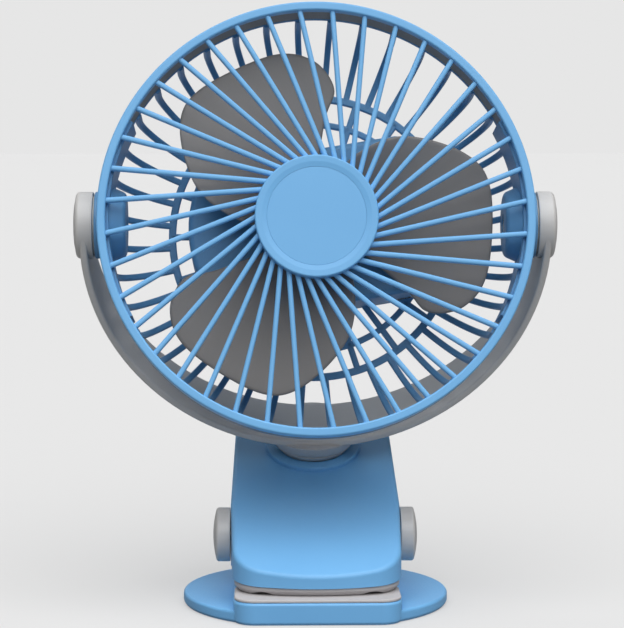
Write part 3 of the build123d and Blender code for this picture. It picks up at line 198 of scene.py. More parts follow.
# Base plate: one ABS moulding, a thin round foot with the lower jaw block standing on it and, inside the
# jaw, two hinge ears and a rib that the spring pushes on. The mat sits in the recess underneath.
base_radius = 42.0
block_half_width = 26.0
block_front_y = -38.0
block_rear_y = 15.0
block_corner = 7.0
base_bottom_z = 0.15
base_top_z = 3.75
block_top_z = 6.9
recess_top_z = 1.0
base_edge = 1.0
block_edge = 0.9
mat_play = 0.1
hinge_y = 3.0
hinge_z = 20.7
hinge_ear_inner_x = 19.9
hinge_ear_thickness = 4.0
hinge_ear_front_y = -6.0
hinge_ear_rear_y = 15.0
hinge_ear_foot_z = 5.0
hinge_ear_corner = 1.0
hinge_ear_radius = 7.0
hinge_ear_edge = 0.4
rib_half_width = 9.0
rib_front_y = 9.0
rib_rear_y = 12.0
rib_top_z = 13.75
rib_sink = 0.5
rib_corner = 0.5
rib_edge = 0.4


def trace(arcs):
    """Outline of arcs run through in order; each is (x, y, radius, from, to), in degrees."""
    points = []
    for x, y, radius, start, end in arcs:
        count = max(3, round(abs(end - start) / 5))
        for k in range(count + 1):
            turn = radians(start + (end - start) * k / count)
            point = Vector((x + radius * cos(turn), y + radius * sin(turn)))
            if not points or (point - points[-1]).length > 0.001:
                points.append(point)
    return points


def rounded_box(x0, y0, x1, y1, radius):
    """Rectangle with rounded corners, counter-clockwise from its lower left corner."""
    return trace(
        [
            (x0 + radius, y0 + radius, radius, 180, 270),
            (x1 - radius, y0 + radius, radius, 270, 360),
            (x1 - radius, y1 - radius, radius, 0, 90),
            (x0 + radius, y1 - radius, radius, 90, 180),
        ]
    )


# Light blue ABS: satin, very slightly cloudy from the pigment, with the fine spark texture of the mould,
# which is drawn several times coarser than the real one so that it shows
blue_abs = surface(
    "moulded blue ABS", "#6eaee2", "#78b8ea", 30.0, 0.36, 0.48, 0.55, 0.012, {"Specular IOR Level": 0.36}
)
block = rounded_box(-block_half_width, block_front_y, block_half_width, block_rear_y, block_corner)
corner_middle = Vector((block_half_width - block_corner, block_front_y + block_corner))
joint = max(
    intersect_sphere_sphere_2d((0, 0), base_radius, corner_middle, block_corner),
    key=lambda spot: spot.y,
)
corner_end = degrees(atan2(joint.y - corner_middle.y, joint.x - corner_middle.x))
shoulder = degrees(atan2(joint.y, joint.x))
front_edge = trace(
    [
        (-corner_middle.x, corner_middle.y, block_corner, 180 - corner_end, 270),
        (corner_middle.x, corner_middle.y, block_corner, 270, 360 + corner_end),
    ]
)
round_edge = trace([(0, 0, base_radius, shoulder, 180 - shoulder)])[1:-1]
foot = front_edge + round_edge
block_middle = Vector((0, (block_front_y + block_rear_y) / 2))
on_block = list(front_edge)
for point in round_edge:
    hits = [
        intersect_line_line_2d(block_middle, point, block[k - 1], block[k]) for k in range(len(block))
    ]
    on_block.append(next((hit for hit in hits if hit), point))
recess = []
for point in foot:
    spot = point.normalized() * (mat_radius + mat_play)
    recess.append(Vector((spot.x, max(spot.y, mat_front_y - mat_play))))
rings = [[(p.x, p.y, recess_top_z) for p in recess], [(p.x, p.y, base_bottom_z) for p in recess]]
for amount, z in edge_steps(base_bottom_z, base_top_z, base_edge)[:8]:
    rings.append([(p.x, p.y, z) for p in inset(foot, min(amount, 0.5))])
for amount, z in edge_steps(base_bottom_z, base_top_z, base_edge)[8:]:
    drawn = inset(foot, amount)
    rings.append(
        [
            (b.x, b.y, z) if (p - b).length < 0.01 else (d.x, d.y, z)
            for p, b, d in zip(foot, on_block, drawn)
        ]
    )
rings.append([(p.x, p.y, base_top_z) for p in on_block])
for amount, z in edge_steps(base_top_z, block_top_z, block_edge)[7:]:
    rings.append(
        [(p.x, p.y, z) for p in [b + (block_middle - b).normalized() * amount for b in on_block]]
    )
bm = bmesh.new()
skin(bm, rings, table_frame)
ear_frame = Matrix(((0, 0, 1, 0), (1, 0, 0, 0), (0, 1, 0, 0), (0, 0, 0, 1)))
ear_foot_z = hinge_ear_foot_z + hinge_ear_corner
ear = trace(
    [
        (hinge_ear_front_y + hinge_ear_corner, ear_foot_z, hinge_ear_corner, 180, 270),
        (hinge_ear_rear_y - hinge_ear_corner, ear_foot_z, hinge_ear_corner, 270, 360),
        (hinge_y, hinge_z, hinge_ear_radius, 15, 165),
    ]
)
for inner_x in (-hinge_ear_inner_x - hinge_ear_thickness, hinge_ear_inner_x):
    ear_steps = edge_steps(inner_x, inner_x + hinge_ear_thickness, hinge_ear_edge)
    plate(bm, ear, ear_steps, table_frame @ ear_frame)
rib = rounded_box(-rib_half_width, rib_front_y, rib_half_width, rib_rear_y, rib_corner)
plate(bm, rib, edge_steps(base_top_z - rib_sink, rib_top_z, rib_edge), table_frame)
settle("base_moulding", bm, blue_abs, "base", "blue_abs", "base_plate")

# Lower jaw pad: a soft rubber strip glued on the block, which grips the shelf from below.
# Its edges are rounded over and its skin is matt.
pad_rear_y = -13.0
pad_margin = 0.4
pad_edge = 0.42
lower_pad_top_z = 7.9

# Light grey rubber: matt and slightly warm, with a soft even grain and hardly any highlight
pad_rubber = surface("light grey rubber", "#b7b4b5", "#c1bebf", 9.0, 0.72, 0.9, 0.6, 0.03, {})
bm = bmesh.new()
pad_half_width = block_half_width - pad_margin
pad_front_y = block_front_y + pad_margin
pad = rounded_box(-pad_half_width, pad_front_y, pad_half_width, pad_rear_y, block_corner - pad_margin)
plate(bm, pad, edge_steps(block_top_z, lower_pad_top_z, pad_edge), table_frame)
lower_pad = settle("lower_jaw_pad_strip", bm, pad_rubber, "base", "pad_rubber", "lower_jaw_pad")

# Hinge pin and sleeve: a turned steel pin through both jaws and a nylon tube that carries the spring.
# Both hide inside the jaw and keep their CAD shapes.

# Nickel plated steel: bright and even, with faint turning marks in the gloss
plated_steel = surface(
    "nickel plated steel", "#b9b8b5", "#c6c5c2", 12.0, 0.22, 0.38, 0.5, 0.004, {"Metallic": 1.0}
)
# Natural nylon: milky, with a dull waxy sheen
nylon = surface("natural nylon", "#d8d5cc", "#e0ddd5", 10.0, 0.42, 0.55, 0.8, 0.01, {})


def dress(material, *names):
    """CAD nodes that keep their shape and take a finished material."""
    for name in names:
        mesh = frame["nodes"][name].data
        mesh.materials.clear()
        mesh.materials.append(material)


dress(plated_steel, "hinge_pin")
dress(nylon, "hinge_sleeve")

# Torsion spring: hard-drawn wire wound round the sleeve, one leg resting on the base's rib and one under
# the lever. It holds the jaws shut, and its turns twist as the lever is pressed.
spring_radius = 6.2
spring_wire = 1.4
spring_pitch = 2.1
spring_half_turns = 13
spring_start_x = -6.3
spring_leg = 9.0
steps_per_turn = 48

bars = bpy.data.node_groups.new("bars along paths", "GeometryNodeTree")
for label, kind in (
    ("Path", "NodeSocketGeometry"),
    ("Width", "NodeSocketFloat"),
    ("Depth", "NodeSocketFloat"),
    ("Rounding", "NodeSocketFloat"),
    ("Side", "NodeSocketVector"),
    ("Count", "NodeSocketInt"),
    ("Start", "NodeSocketFloat"),
    ("Material", "NodeSocketMaterial"),
):
    bars.interface.new_socket(label, in_out="INPUT", socket_type=kind)
bars.interface.new_socket("Mesh", in_out="OUTPUT", socket_type="NodeSocketGeometry")
given = add_node(bars, "NodeGroupInput", {}, {}).outputs
section = add_node(
    bars, "GeometryNodeCurvePrimitiveQuadrilateral", {}, {"Width": given["Width"], "Height": given["Depth"]}
)
rounded = add_node(
    bars,
    "GeometryNodeFilletCurve",
    {"mode": "POLY"},
    {"Curve": section.outputs["Curve"], "Count": 4, "Radius": given["Rounding"], "Limit Radius": True},
)
turned = add_node(
    bars, "GeometryNodeSetCurveNormal", {"mode": "FREE"}, {"Curve": given["Path"], "Normal": given["Side"]}
)
bar = add_node(
    bars,
    "GeometryNodeCurveToMesh",
    {},
    {"Curve": turned.outputs["Curve"], "Profile Curve": rounded.outputs["Curve"], "Fill Caps": True},
)
spots = add_node(bars, "GeometryNodePoints", {}, {"Count": given["Count"]})
pitch = add_node(bars, "ShaderNodeMath", {"operation": "DIVIDE"}, {0: radians(360), 1: given["Count"]})
index = add_node(bars, "GeometryNodeInputIndex", {}, {})
turn = add_node(
    bars,
    "ShaderNodeMath",
    {"operation": "MULTIPLY_ADD"},
    {0: index.outputs["Index"], 1: pitch.outputs[0], 2: given["Start"]},
)
spin = add_node(bars, "ShaderNodeCombineXYZ", {}, {"Z": turn.outputs[0]})
spread = add_node(
    bars,
    "GeometryNodeInstanceOnPoints",
    {},
    {"Points": spots.outputs[0], "Instance": bar.outputs["Mesh"], "Rotation": spin.outputs["Vector"]},
)
real = add_node(bars, "GeometryNodeRealizeInstances", {}, {"Geometry": spread.outputs["Instances"]})
painted = add_node(
    bars,
    "GeometryNodeSetMaterial",
    {},
    {"Geometry": real.outputs["Geometry"], "Material": given["Material"]},
)
add_node(bars, "NodeGroupOutput", {}, {"Mesh": painted.outputs["Geometry"]})


def baked(host):
    """Plain mesh of an object with its modifiers worked in; the object itself goes."""
    graph = bpy.context.evaluated_depsgraph_get()
    mesh = bpy.data.meshes.new_from_object(host.evaluated_get(graph), depsgraph=graph)
    bpy.data.objects.remove(host)
    return mesh


def sweep(bm, paths, place, values):
    """Bars along paths, swept and repeated by the node tree and added to a mesh."""
    curve = bpy.data.curves.new("path", "CURVE")
    curve.dimensions = "3D"
    for path in paths:
        spline = curve.splines.new("POLY")
        spline.points.add(len(path) - 1)
        for point, spot in zip(spline.points, path):
            point.co = (*spot, 1)
    host = bpy.data.objects.new("path", curve)
    bpy.context.scene.collection.objects.link(host)
    modifier = host.modifiers.new("bars", "NODES")
    modifier.node_group = bars
    for socket in bars.interface.items_tree:
        if socket.in_out == "INPUT" and socket.name in values:
            modifier[socket.identifier] = values[socket.name]
    mesh = baked(host)
    mesh.transform(place)
    bm.from_mesh(mesh)
    bpy.data.meshes.remove(mesh)


coil = []
for k in range(steps_per_turn // 2 * spring_half_turns + 1):
    turn_angle = radians(-90 + 360 * k / steps_per_turn)
    coil.append(
        (
            spring_start_x + spring_pitch * k / steps_per_turn,
            hinge_y - spring_radius * cos(turn_angle),
            hinge_z + spring_radius * sin(turn_angle),
        )
    )
coil.insert(0, (coil[0][0], coil[0][1] + spring_leg, coil[0][2]))
coil.append((coil[-1][0], coil[-1][1] + spring_leg, coil[-1][2]))
bm = bmesh.new()
sweep(
    bm,
    [coil],
    table_frame,
    {
        "Width": spring_wire,
        "Depth": spring_wire,
        "Rounding": spring_wire / 2 - 0.01,
        "Side": (1.0, 0.0, 0.0),
        "Count": 1,
        "Start": 0.0,
        "Material": plated_steel,
    },
)
wound_spring = settle("wound_spring", bm, plated_steel, None, "plated_steel", "torsion_spring")
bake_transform(wound_spring)

# Upper jaw: a hollow ABS lever with a raised collar for the neck, closed from below by a liner at the
# front and a cover under the lever, each held by two small screws.
dress(blue_abs, "upper_jaw_shell", "upper_jaw_liner", "lever_cover")
dress(plated_steel, "liner_screws", "lever_cover_screws")

# Upper jaw pad: a soft moulded rubber block glued under the liner, with two shallow grip grooves and a
# slanted front edge. The CAD solid is remeshed finely and eased, so that its edges are soft.
bm = bmesh.new()
bm.from_mesh(frame["nodes"]["upper_jaw_pad"].data)
bmesh.ops.remove_doubles(bm, verts=bm.verts, dist=1e-6)
bmesh.ops.recalc_face_normals(bm, faces=bm.faces)
rough_mesh = bpy.data.meshes.new("pad_form")
bm.to_mesh(rough_mesh)
bm.free()
form = bpy.data.objects.new("pad_form", rough_mesh)
bpy.context.scene.collection.objects.link(form)
remesh = form.modifiers.new("even skin", "REMESH")
remesh.mode = "VOXEL"
remesh.voxel_size = 0.0003
ease = form.modifiers.new("soft edges", "SMOOTH")
ease.factor = 0.5
ease.iterations = 3
eased = baked(form)
bm = bmesh.new()
bm.from_mesh(eased)
bpy.data.meshes.remove(eased)
upper_pad = settle("upper_jaw_pad_block", bm, pad_rubber, "upper_jaw", "pad_rubber", "upper_jaw_pad")

# Hinge caps: two round ABS buttons pressed on the ends of the hinge pin, with a rounded rim and
# a slightly domed face.
cap_radius = 8.6
cap_inner_x = 27.1
cap_outer_x = 32.6
cap_dome = 1.2
hinge_point = Vector((0, hinge_y, hinge_z)) / 1000


def soften(corners):
    """Closed section with rounded corners; each corner is (x, y, radius)."""
    points = []
    for k, (x, y, radius) in enumerate(corners):
        here = Vector((x, y))
        if not radius:
            points.append(here)
            continue
        before = (Vector(corners[k - 1][:2]) - here).normalized()
        after = (Vector(corners[(k + 1) % len(corners)][:2]) - here).normalized()
        half = before.angle(after) / 2
        middle = here + (before + after).normalized() * radius / sin(half)
        first = here + before * radius / tan(half) - middle
        last = here + after * radius / tan(half) - middle
        points += [middle + first.lerp(last, step / 6).normalized() * radius for step in range(7)]
    return points


def lathe(bm, section, place, steps, start=0.0, sweep_angle=360.0):
    """Closed section of radii and heights turned about the local Z axis, all round or part of the way."""
    full = sweep_angle == 360.0
    rings = []
    for k in range(steps if full else steps + 1):
        a = radians(start + sweep_angle * k / steps)
        rings.append([(p[0] * cos(a), p[0] * sin(a), p[1]) for p in section])
    skin(bm, rings, place, round_trip=full)


def along_x(side, origin):
    """Frame whose Z axis runs out to one side along the X axis."""
    return Matrix.Translation(origin) @ Matrix.Rotation(radians(90 * side), 4, "Y") @ table_frame


# Light grey ABS: the same satin moulding texture in a neutral pale grey
grey_abs = surface("moulded light grey ABS", "#bcbbba", "#c5c4c3", 25.0, 0.36, 0.48, 0.55, 0.012, {})
for side, hand in ((-1, "left"), (1, "right")):
    bm = bmesh.new()
    cap_section = soften(
        [
            (0, cap_inner_x, 0),
            (cap_radius, cap_inner_x, 0.3),
            (cap_radius, cap_outer_x - cap_dome, 0.9),
            *((r, cap_outer_x - cap_dome * (r / cap_radius) ** 2, 0) for r in range(7, -1, -1)),
        ]
    )
    lathe(bm, cap_section, along_x(side, hinge_point), 96)
    settle(f"hinge_button_{hand}", bm, grey_abs, "upper_jaw", "grey_abs", f"hinge_cap_{hand}")

# Yoke: one ABS moulding, a half hoop that widens towards its foot, with a round pivot end on each arm and
# a bowl under it that turns on the jaw's collar.
tilt_joint = next(joint for joint in frame["joints"] if joint["name"] == "head_tilt")
tilt_point = Vector(tilt_joint["pos_m"])
neck_lean = 23.0
yoke_frame = Matrix.Translation(tilt_point) @ Matrix.Rotation(radians(90 + neck_lean), 4, "X") @ table_frame
yoke_outer = 73.75
yoke_inner = 71.35
yoke_drop = 1.3
yoke_end_half = 10.5
yoke_foot_half = 12.3
disc_inner_x = 69.7
disc_outer_x = 75.2
bolt_bore = 2.1
bolt_recess = 5.0
bolt_recess_depth = 3.3
lid_seat = 8.3
lid_seat_depth = 0.7
bowl_radius = 16.0
bowl_centre = -69.3
bowl_top = -73.85
bowl_bottom = -81.3
bowl_groove = 0.45
spindle_radius = 4.5
spindle_end = -84.8

bm = bmesh.new()
rings = []
lift = degrees(asin(yoke_drop / yoke_outer))
for k in range(73):
    a = radians(180 - lift + (180 + 2 * lift) * k / 72)
    share = (yoke_drop - yoke_outer * sin(a)) / (yoke_drop + yoke_outer)
    half = yoke_end_half + (yoke_foot_half - yoke_end_half) * share
    band = soften(
        [
            (yoke_inner, -half, 0.7),
            (yoke_outer, -half, 0.9),
            (yoke_outer, half, 0.9),
            (yoke_inner, half, 0.7),
        ]
    )
    rings.append([(p.x * cos(a), p.x * sin(a) - yoke_drop, p.y) for p in band])
skin(bm, rings, yoke_frame)
for side in (-1, 1):
    disc_section = soften(
        [
            (bolt_bore, disc_inner_x, 0),
            (yoke_end_half, disc_inner_x, 0.4),
            (yoke_end_half, disc_outer_x, 1.4),
            (lid_seat, disc_outer_x, 0.25),
            (lid_seat, disc_outer_x - lid_seat_depth, 0),
            (bolt_recess, disc_outer_x - lid_seat_depth, 0),
            (bolt_recess, disc_outer_x - bolt_recess_depth, 0),
            (bolt_bore, disc_outer_x - bolt_recess_depth, 0),
        ]
    )
    lathe(bm, disc_section, along_x(side, tilt_point), 96)
bowl = [Vector((0, bowl_top))]
for k in range(25):
    height = bowl_top + (bowl_bottom - bowl_top) * k / 24
    groove = bowl_groove if k in (13, 14) else 0
    bowl.append(Vector((sqrt(bowl_radius**2 - (height - bowl_centre) ** 2) - groove, height)))
bowl += [Vector((spindle_radius, bowl_bottom)), Vector((spindle_radius, spindle_end))]
bowl.append(Vector((0, spindle_end)))
lathe(bm, bowl, yoke_frame @ Matrix.Rotation(radians(-90), 4, "X"), 96)
settle("yoke_moulding", bm, grey_abs, "yoke_body", "grey_abs", "yoke")
dress(nylon, "swivel_washer", "friction_washer_left", "friction_washer_right")
dress(
    plated_steel,
    "wave_washer",
    "swivel_plate",
    "swivel_screw",
    "pivot_bolt_left",
    "pivot_bolt_right",
    "pivot_nut_left",
    "pivot_nut_right",
)

# Pivot caps: thin domed ABS lids that snap into the pivot ends and hide the bolt heads. They take the same
# grey as the yoke, so only the ring of the joint shows.
lid_radius = 8.2
lid_inner_x = disc_outer_x - lid_seat_depth
lid_skirt_x = disc_outer_x - 0.1
lid_dome = 0.9
for side, hand in ((-1, "left"), (1, "right")):
    bm = bmesh.new()
    dome = [Vector((0, lid_inner_x)), Vector((lid_radius, lid_inner_x)), Vector((lid_radius, lid_skirt_x))]
    dome += [
        Vector((lid_radius * cos(radians(t)), lid_skirt_x + lid_dome * sin(radians(t)) ** 0.8))
        for t in range(9, 90, 9)
    ]
    dome.append(Vector((0, lid_skirt_x + lid_dome)))
    lathe(bm, dome, along_x(side, tilt_point), 96)
    settle(f"pivot_lid_{hand}", bm, grey_abs, "yoke_body", "grey_abs", f"pivot_cap_{hand}")

# Rear grille: one ABS moulding with the rim, two side ears that carry the pivot bosses, forty bars that
# bend round to the back, two rings with short spokes, and the cup of the motor pod in the middle.
head_tilt = 12.2
head_frame = Matrix.Translation(tilt_point) @ Matrix.Rotation(radians(90 - head_tilt), 4, "X") @ table_frame
ring_outer = 67.9
ring_inner = 65.2
rim_rear_d = 2.6
rim_front_d = 4.55
ear_rear_d = -5.0
ear_wall = 3.6
ear_angle = 28.0
band_front_d = 8.95
lap_radius = 66.45
lip_front_d = 13.65
boss_inner_x = 59.3
boss_root_x = 66.25
boss_outer_x = 69.2
boss_tip = 10.0
boss_root = 13.0
nut_seat_x = 61.6
nut_half_width = 3.21
nut_pocket_rim = 4.0
bolt_hole = 2.02
bowl_rear_d = -26.15
bend_d = -5.5
bar_sink = 1.0
rear_ring = 45.9
inner_ring = 37.2
hoop_depth = 2.0
bar_bend = 19.65
pod_radius = 40.22
pod_half_height = 25.2
pod_turn = 9.5
pod_corner = 3.0
pod_front_d = -5.0
pod_wall = 2.0
pod_edge = 2.0
pod_shaft_hole = 4.1
inlet_x = 24.0
inlet_d = -21.25
inlet_half_width = 4.5
inlet_half_height = 1.65
inlet_corner = 1.6

# Blue ABS with painted shade: a darker, greyer copy of the same satin blue moulding, so that the inside of
# the cage reads as shaded
painted_shade_blue_abs = surface(
    "moulded blue ABS with painted shade",
    "#5a8fbb",
    "#6398c4",
    30.0,
    0.36,
    0.48,
    0.55,
    0.012,
    {"Specular IOR Level": 0.36},
)
bm = bmesh.new()
rim = soften(
    [
        (ring_inner, rim_rear_d, 0.4),
        (ring_outer, rim_rear_d, 0.6),
        (ring_outer, rim_front_d, 0.2),
        (ring_inner, rim_front_d, 0.2),
    ]
)
side_ear = soften(
    [
        (ring_outer - ear_wall, ear_rear_d, 0.6),
        (ring_outer, ear_rear_d, 0.7),
        (ring_outer, band_front_d, 0.2),
        (lap_radius, band_front_d, 0),
        (lap_radius, lip_front_d, 0.2),
        (ring_outer - ear_wall, lip_front_d, 0.3),
    ]
)
for start in (0, 180):
    lathe(bm, rim, head_frame, 62, start + ear_angle, 180 - 2 * ear_angle)
    lathe(bm, side_ear, head_frame, 28, start - ear_angle, 2 * ear_angle)
boss = soften(
    [
        (nut_pocket_rim, boss_inner_x, 0),
        (boss_tip, boss_inner_x, 2.0),
        (boss_root, boss_root_x, 0.3),
        (yoke_end_half, boss_root_x, 0),
        (yoke_end_half, boss_outer_x, 0.4),
        (bolt_hole, boss_outer_x, 0),
        (bolt_hole, nut_seat_x, 0),
    ]
)
around = [radians(3.75 * k) for k in range(96)]
for side in (-1, 1):
    rings = [[(p.x * cos(a), p.x * sin(a), p.y) for a in around] for p in boss]
    for x in (nut_seat_x, boss_inner_x):
        reach = [nut_half_width / cos((a - radians(30)) % radians(60) - radians(30)) for a in around]
        rings.append([(r * cos(a), r * sin(a), x) for r, a in zip(reach, around)])
    skin(bm, rings, along_x(side, tilt_point), round_trip=True)
bend = [
    (rear_ring + bar_bend * cos(radians(a)), 0, bend_d - bar_bend * sin(radians(a)))
    for a in range(0, 91, 5)
]
bar_values = {
    "Width": 2.0,
    "Depth": 2.0,
    "Rounding": 0.55,
    "Side": (0.0, 1.0, 0.0),
    "Count": 40,
    "Start": radians(4.5),
    "Material": painted_shade_blue_abs,
}
sweep(bm, [[(bend[0][0], 0, rim_rear_d + bar_sink)] + bend], head_frame, bar_values)
for radius, half in ((rear_ring, 1.2), (inner_ring, 1.0)):
    hoop = soften(
        [
            (radius - half, bowl_rear_d, 0.5),
            (radius + half, bowl_rear_d, 0.5),
            (radius + half, bowl_rear_d + hoop_depth, 0.5),
            (radius - half, bowl_rear_d + hoop_depth, 0.5),
        ]
    )
    lathe(bm, hoop, head_frame, 144)
spokes = []
for k in range(20):
    a = radians(18 * k)
    steepness = max(abs(sin(a - radians(pod_turn))), 0.01)
    start = min(pod_radius - bar_sink, (pod_half_height - bar_sink) / steepness)
    if start < rear_ring:
        stops = (start, (start + rear_ring) / 2, rear_ring)
        spokes.append([(r * cos(a), r * sin(a), bowl_rear_d + hoop_depth / 2) for r in stops])
sweep(
    bm,
    spokes,
    head_frame,
    {**bar_values, "Side": (0.0, 0.0, 1.0), "Count": 1, "Start": 0.0},
)
pod_x = sqrt((pod_radius - pod_corner) ** 2 - (pod_half_height - pod_corner) ** 2)
pod_y = pod_half_height - pod_corner
corner_turn = degrees(atan2(pod_y, pod_x))
pod = trace(
    [
        (0, 0, pod_radius, -corner_turn, corner_turn),
        (pod_x, pod_y, pod_corner, corner_turn, 90),
        (-pod_x, pod_y, pod_corner, 90, 180 - corner_turn),
        (0, 0, pod_radius, 180 - corner_turn, 180 + corner_turn),
        (-pod_x, -pod_y, pod_corner, 180 + corner_turn, 270),
        (pod_x, -pod_y, pod_corner, 270, 360 - corner_turn),
    ]
)
if (pod[0] - pod[-1]).length < 0.001:
    pod.pop()
rings = [[(p.x, p.y, bowl_rear_d) for p in pod]]
for k in range(7):
    a = radians(15 * k)
    turned_in = inset(pod, pod_edge * (1 - cos(a)))
    rings.append([(p.x, p.y, pod_front_d - pod_edge + pod_edge * sin(a)) for p in turned_in])
for d in (pod_front_d, pod_front_d - pod_wall):
    rings.append([(p.x, p.y, d) for p in [q.normalized() * pod_shaft_hole for q in pod]])
cup = inset(pod, pod_wall)
rings.append([(p.x, p.y, pod_front_d - pod_wall) for p in cup])
rings.append([(p.x, p.y, bowl_rear_d) for p in cup])
pod_frame = head_frame @ Matrix.Rotation(radians(pod_turn), 4, "Z")
forms = []
for label in ("cup_form", "inlet_form"):
    form_bm = bmesh.new()
    if label == "cup_form":
        skin(form_bm, rings, pod_frame, round_trip=True)
    else:
        slot = rounded_box(
            inlet_x - inlet_half_width,
            inlet_d - inlet_half_height,
            inlet_x + inlet_half_width,
            inlet_d + inlet_half_height,
            inlet_corner,
        )
        reach = (-pod_half_height - 1, -pod_half_height + pod_wall + 1)
        skin(form_bm, [[(p.x, y, p.y) for p in slot] for y in reach], pod_frame)
    bmesh.ops.recalc_face_normals(form_bm, faces=form_bm.faces)
    form_mesh = bpy.data.meshes.new(label)
    form_bm.to_mesh(form_mesh)
    form_bm.free()
    forms.append(bpy.data.objects.new(label, form_mesh))
    bpy.context.scene.collection.objects.link(forms[-1])
cut = forms[0].modifiers.new("inlet", "BOOLEAN")
cut.object = forms[1]
slotted = baked(forms[0])
bpy.data.objects.remove(forms[1])
bm.from_mesh(slotted)
bpy.data.meshes.remove(slotted)
# The whole rear moulding takes the darkened copy of the blue, a painted shade.
settle("rear_grille_moulding", bm, painted_shade_blue_abs, "head", "blue_abs", "rear_grille")

# Rim band: two ABS arcs, one above and one below, that close the gap between the grilles and snap under
# the lip of the front ring.
band_inner = 65.3
band_rear_d = 4.6
band_end_gap = 0.25

# Dark grey ABS: a warm, slightly duller grey with the same fine mould texture
dark_abs = surface("moulded dark grey ABS", "#7f7c79", "#878380", 22.0, 0.42, 0.56, 0.6, 0.014, {})
bm = bmesh.new()
band = soften(
    [
        (band_inner, band_rear_d, 0.25),
        (ring_outer, band_rear_d, 0.25),
        (ring_outer, band_front_d, 0.25),
        (lap_radius, band_front_d, 0),
        (lap_radius, lip_front_d, 0.2),
        (band_inner, lip_front_d, 0.2),
    ]
)
band_end = ear_angle + band_end_gap
for start in (0, 180):
    lathe(bm, band, head_frame, 62, start + band_end, 180 - 2 * band_end)
settle("rim_band_arcs", bm, dark_abs, "head", "dark_grey_abs", "rim_band")

# Motor, cell and electronics: bought-in parts inside the pod, seen only when it is open. They are screwed,
# pressed or laid into the moulding and keep their CAD shapes.

# Oiled bronze: a warm brownish metal with a soft oily gloss
bronze = surface("oiled bronze", "#a57b4b", "#b38957", 5.0, 0.3, 0.45, 0.4, 0.01, {"Metallic": 1.0})
# Varnished iron: dark metal under a thin brown varnish
iron = surface("varnished iron", "#57504c", "#625a55", 4.0, 0.35, 0.5, 0.6, 0.02, {"Metallic": 1.0})
# Black plastic: deep and satin, with hardly any tone of its own
black_plastic = surface("moulded black plastic", "#1b1b1c", "#232324", 8.0, 0.4, 0.55, 0.5, 0.012, {})
# Shrink wrap: a smooth green film whose gloss ripples a little
cell_wrap = surface("plain shrink wrap", "#33695b", "#3b7365", 15.0, 0.22, 0.34, 3.0, 0.02, {})
# Green laminate: a glossy lacquer that lies slightly uneven on the board
laminate = surface("green laminate", "#1c4f31", "#25593a", 3.0, 0.3, 0.45, 0.6, 0.015, {})
# Clear acrylic: glassy and faintly milky
acrylic = surface(
    "clear acrylic", "#e2e6e2", "#e8ece8", 6.0, 0.08, 0.14, 1.0, 0.004, {"Transmission Weight": 0.6}
)
dress(plated_steel, "motor_can", "motor_screws", "board_screws", "charge_socket", "motor_shaft", "blade_nut")
dress(bronze, "motor_bearing_front", "motor_bearing_rear")
dress(iron, "motor_armature")
dress(black_plastic, "motor_end_cap", "tact_switch", "switch_stem")
dress(cell_wrap, "battery_cell")
dress(laminate, "circuit_board")
dress(acrylic, "charge_light")

# Fan blades: one ABS moulding, three wide petals pitched on a cup-shaped hub. The edges are rounded over
# and each petal is hollow-ground along its chord.
tip_radius = 56.3
blade_thickness = 1.6
blade_rear_d = 1.4
blade_rise = 6.0
blade_hollow = 2.2
half_chord_root = 18.0
half_chord_gain = 30.0
hub_rear_d = -3.2
hub_web_d = 9.4
hub_front_d = 11.0
shaft_bore = 1.25
shaft_sleeve = 3.2
hub_cup_inner = 11.4
hub_cup_outer = 13.0
petal_corners = [
    (0.2, -33.0),
    (0.6, -40.5),
    (0.795, -43.0),
    (0.95, -34.0),
    (1.0, -20.0),
    (1.0, 6.0),
    (0.924, 20.0),
    (0.69, 39.0),
    (0.44, 54.0),
    (0.2, 68.0),
]


def blade_d(x, y):
    """Distance of a petal's rear face along the fan axis."""
    share = y / (half_chord_root + half_chord_gain * x / (tip_radius + blade_thickness))
    return blade_rear_d + blade_rise * share + blade_hollow * share * share


knots = [
    Vector((share * tip_radius * cos(radians(a)), share * tip_radius * sin(radians(a))))
    for share, a in petal_corners
]
petal = []
for k in range(len(knots) - 1):
    p0, p1, p2, p3 = knots[max(k - 1, 0)], knots[k], knots[k + 1], knots[min(k + 2, len(knots) - 1)]
    for step in range(10):
        t = step / 10
        petal.append(
            0.5
            * (
                2 * p1
                + (p2 - p0) * t
                + (2 * p0 - 5 * p1 + 4 * p2 - p3) * t**2
                + (3 * p1 - p0 - 3 * p2 + p3) * t**3
            )
        )
petal.append(knots[-1])
petal += [knots[-1].lerp(knots[0], k / 6) for k in range(1, 6)]
petal_middle = Vector((31.0, -1.0))
face_shares = (0.02, 0.2, 0.4, 0.6, 0.78, 0.9)
layers = [(share, 0.0) for share in face_shares]
layers += [(0.96, 0.02), (0.985, 0.16), (0.996, 0.42), (1.0, 0.8), (0.996, 1.18), (0.985, 1.44), (0.96, 1.58)]
layers += [(share, blade_thickness) for share in reversed(face_shares)]
bm = bmesh.new()
for k in range(3):
    place = head_frame @ Matrix.Rotation(radians(125 + 120 * k), 4, "Z")
    rings = []
    for share, height in layers:
        spread_points = [petal_middle + (p - petal_middle) * share for p in petal]
        rings.append([(p.x, p.y, blade_d(p.x, p.y) + height) for p in spread_points])
    skin(bm, rings, place)
hub = soften(
    [
        (shaft_bore, hub_front_d, 0),
        (shaft_bore, hub_rear_d, 0),
        (shaft_sleeve, hub_rear_d, 0.3),
        (shaft_sleeve, hub_web_d, 0),
        (hub_cup_inner, hub_web_d, 0.8),
        (hub_cup_inner, hub_rear_d, 0.2),
        (hub_cup_outer, hub_rear_d, 0.4),
        (hub_cup_outer, hub_front_d, 1.2),
    ]
)
lathe(bm, hub, head_frame, 96)
settle("fan_blades", bm, dark_abs, "rotor", "dark_grey_abs", "fan_blade")

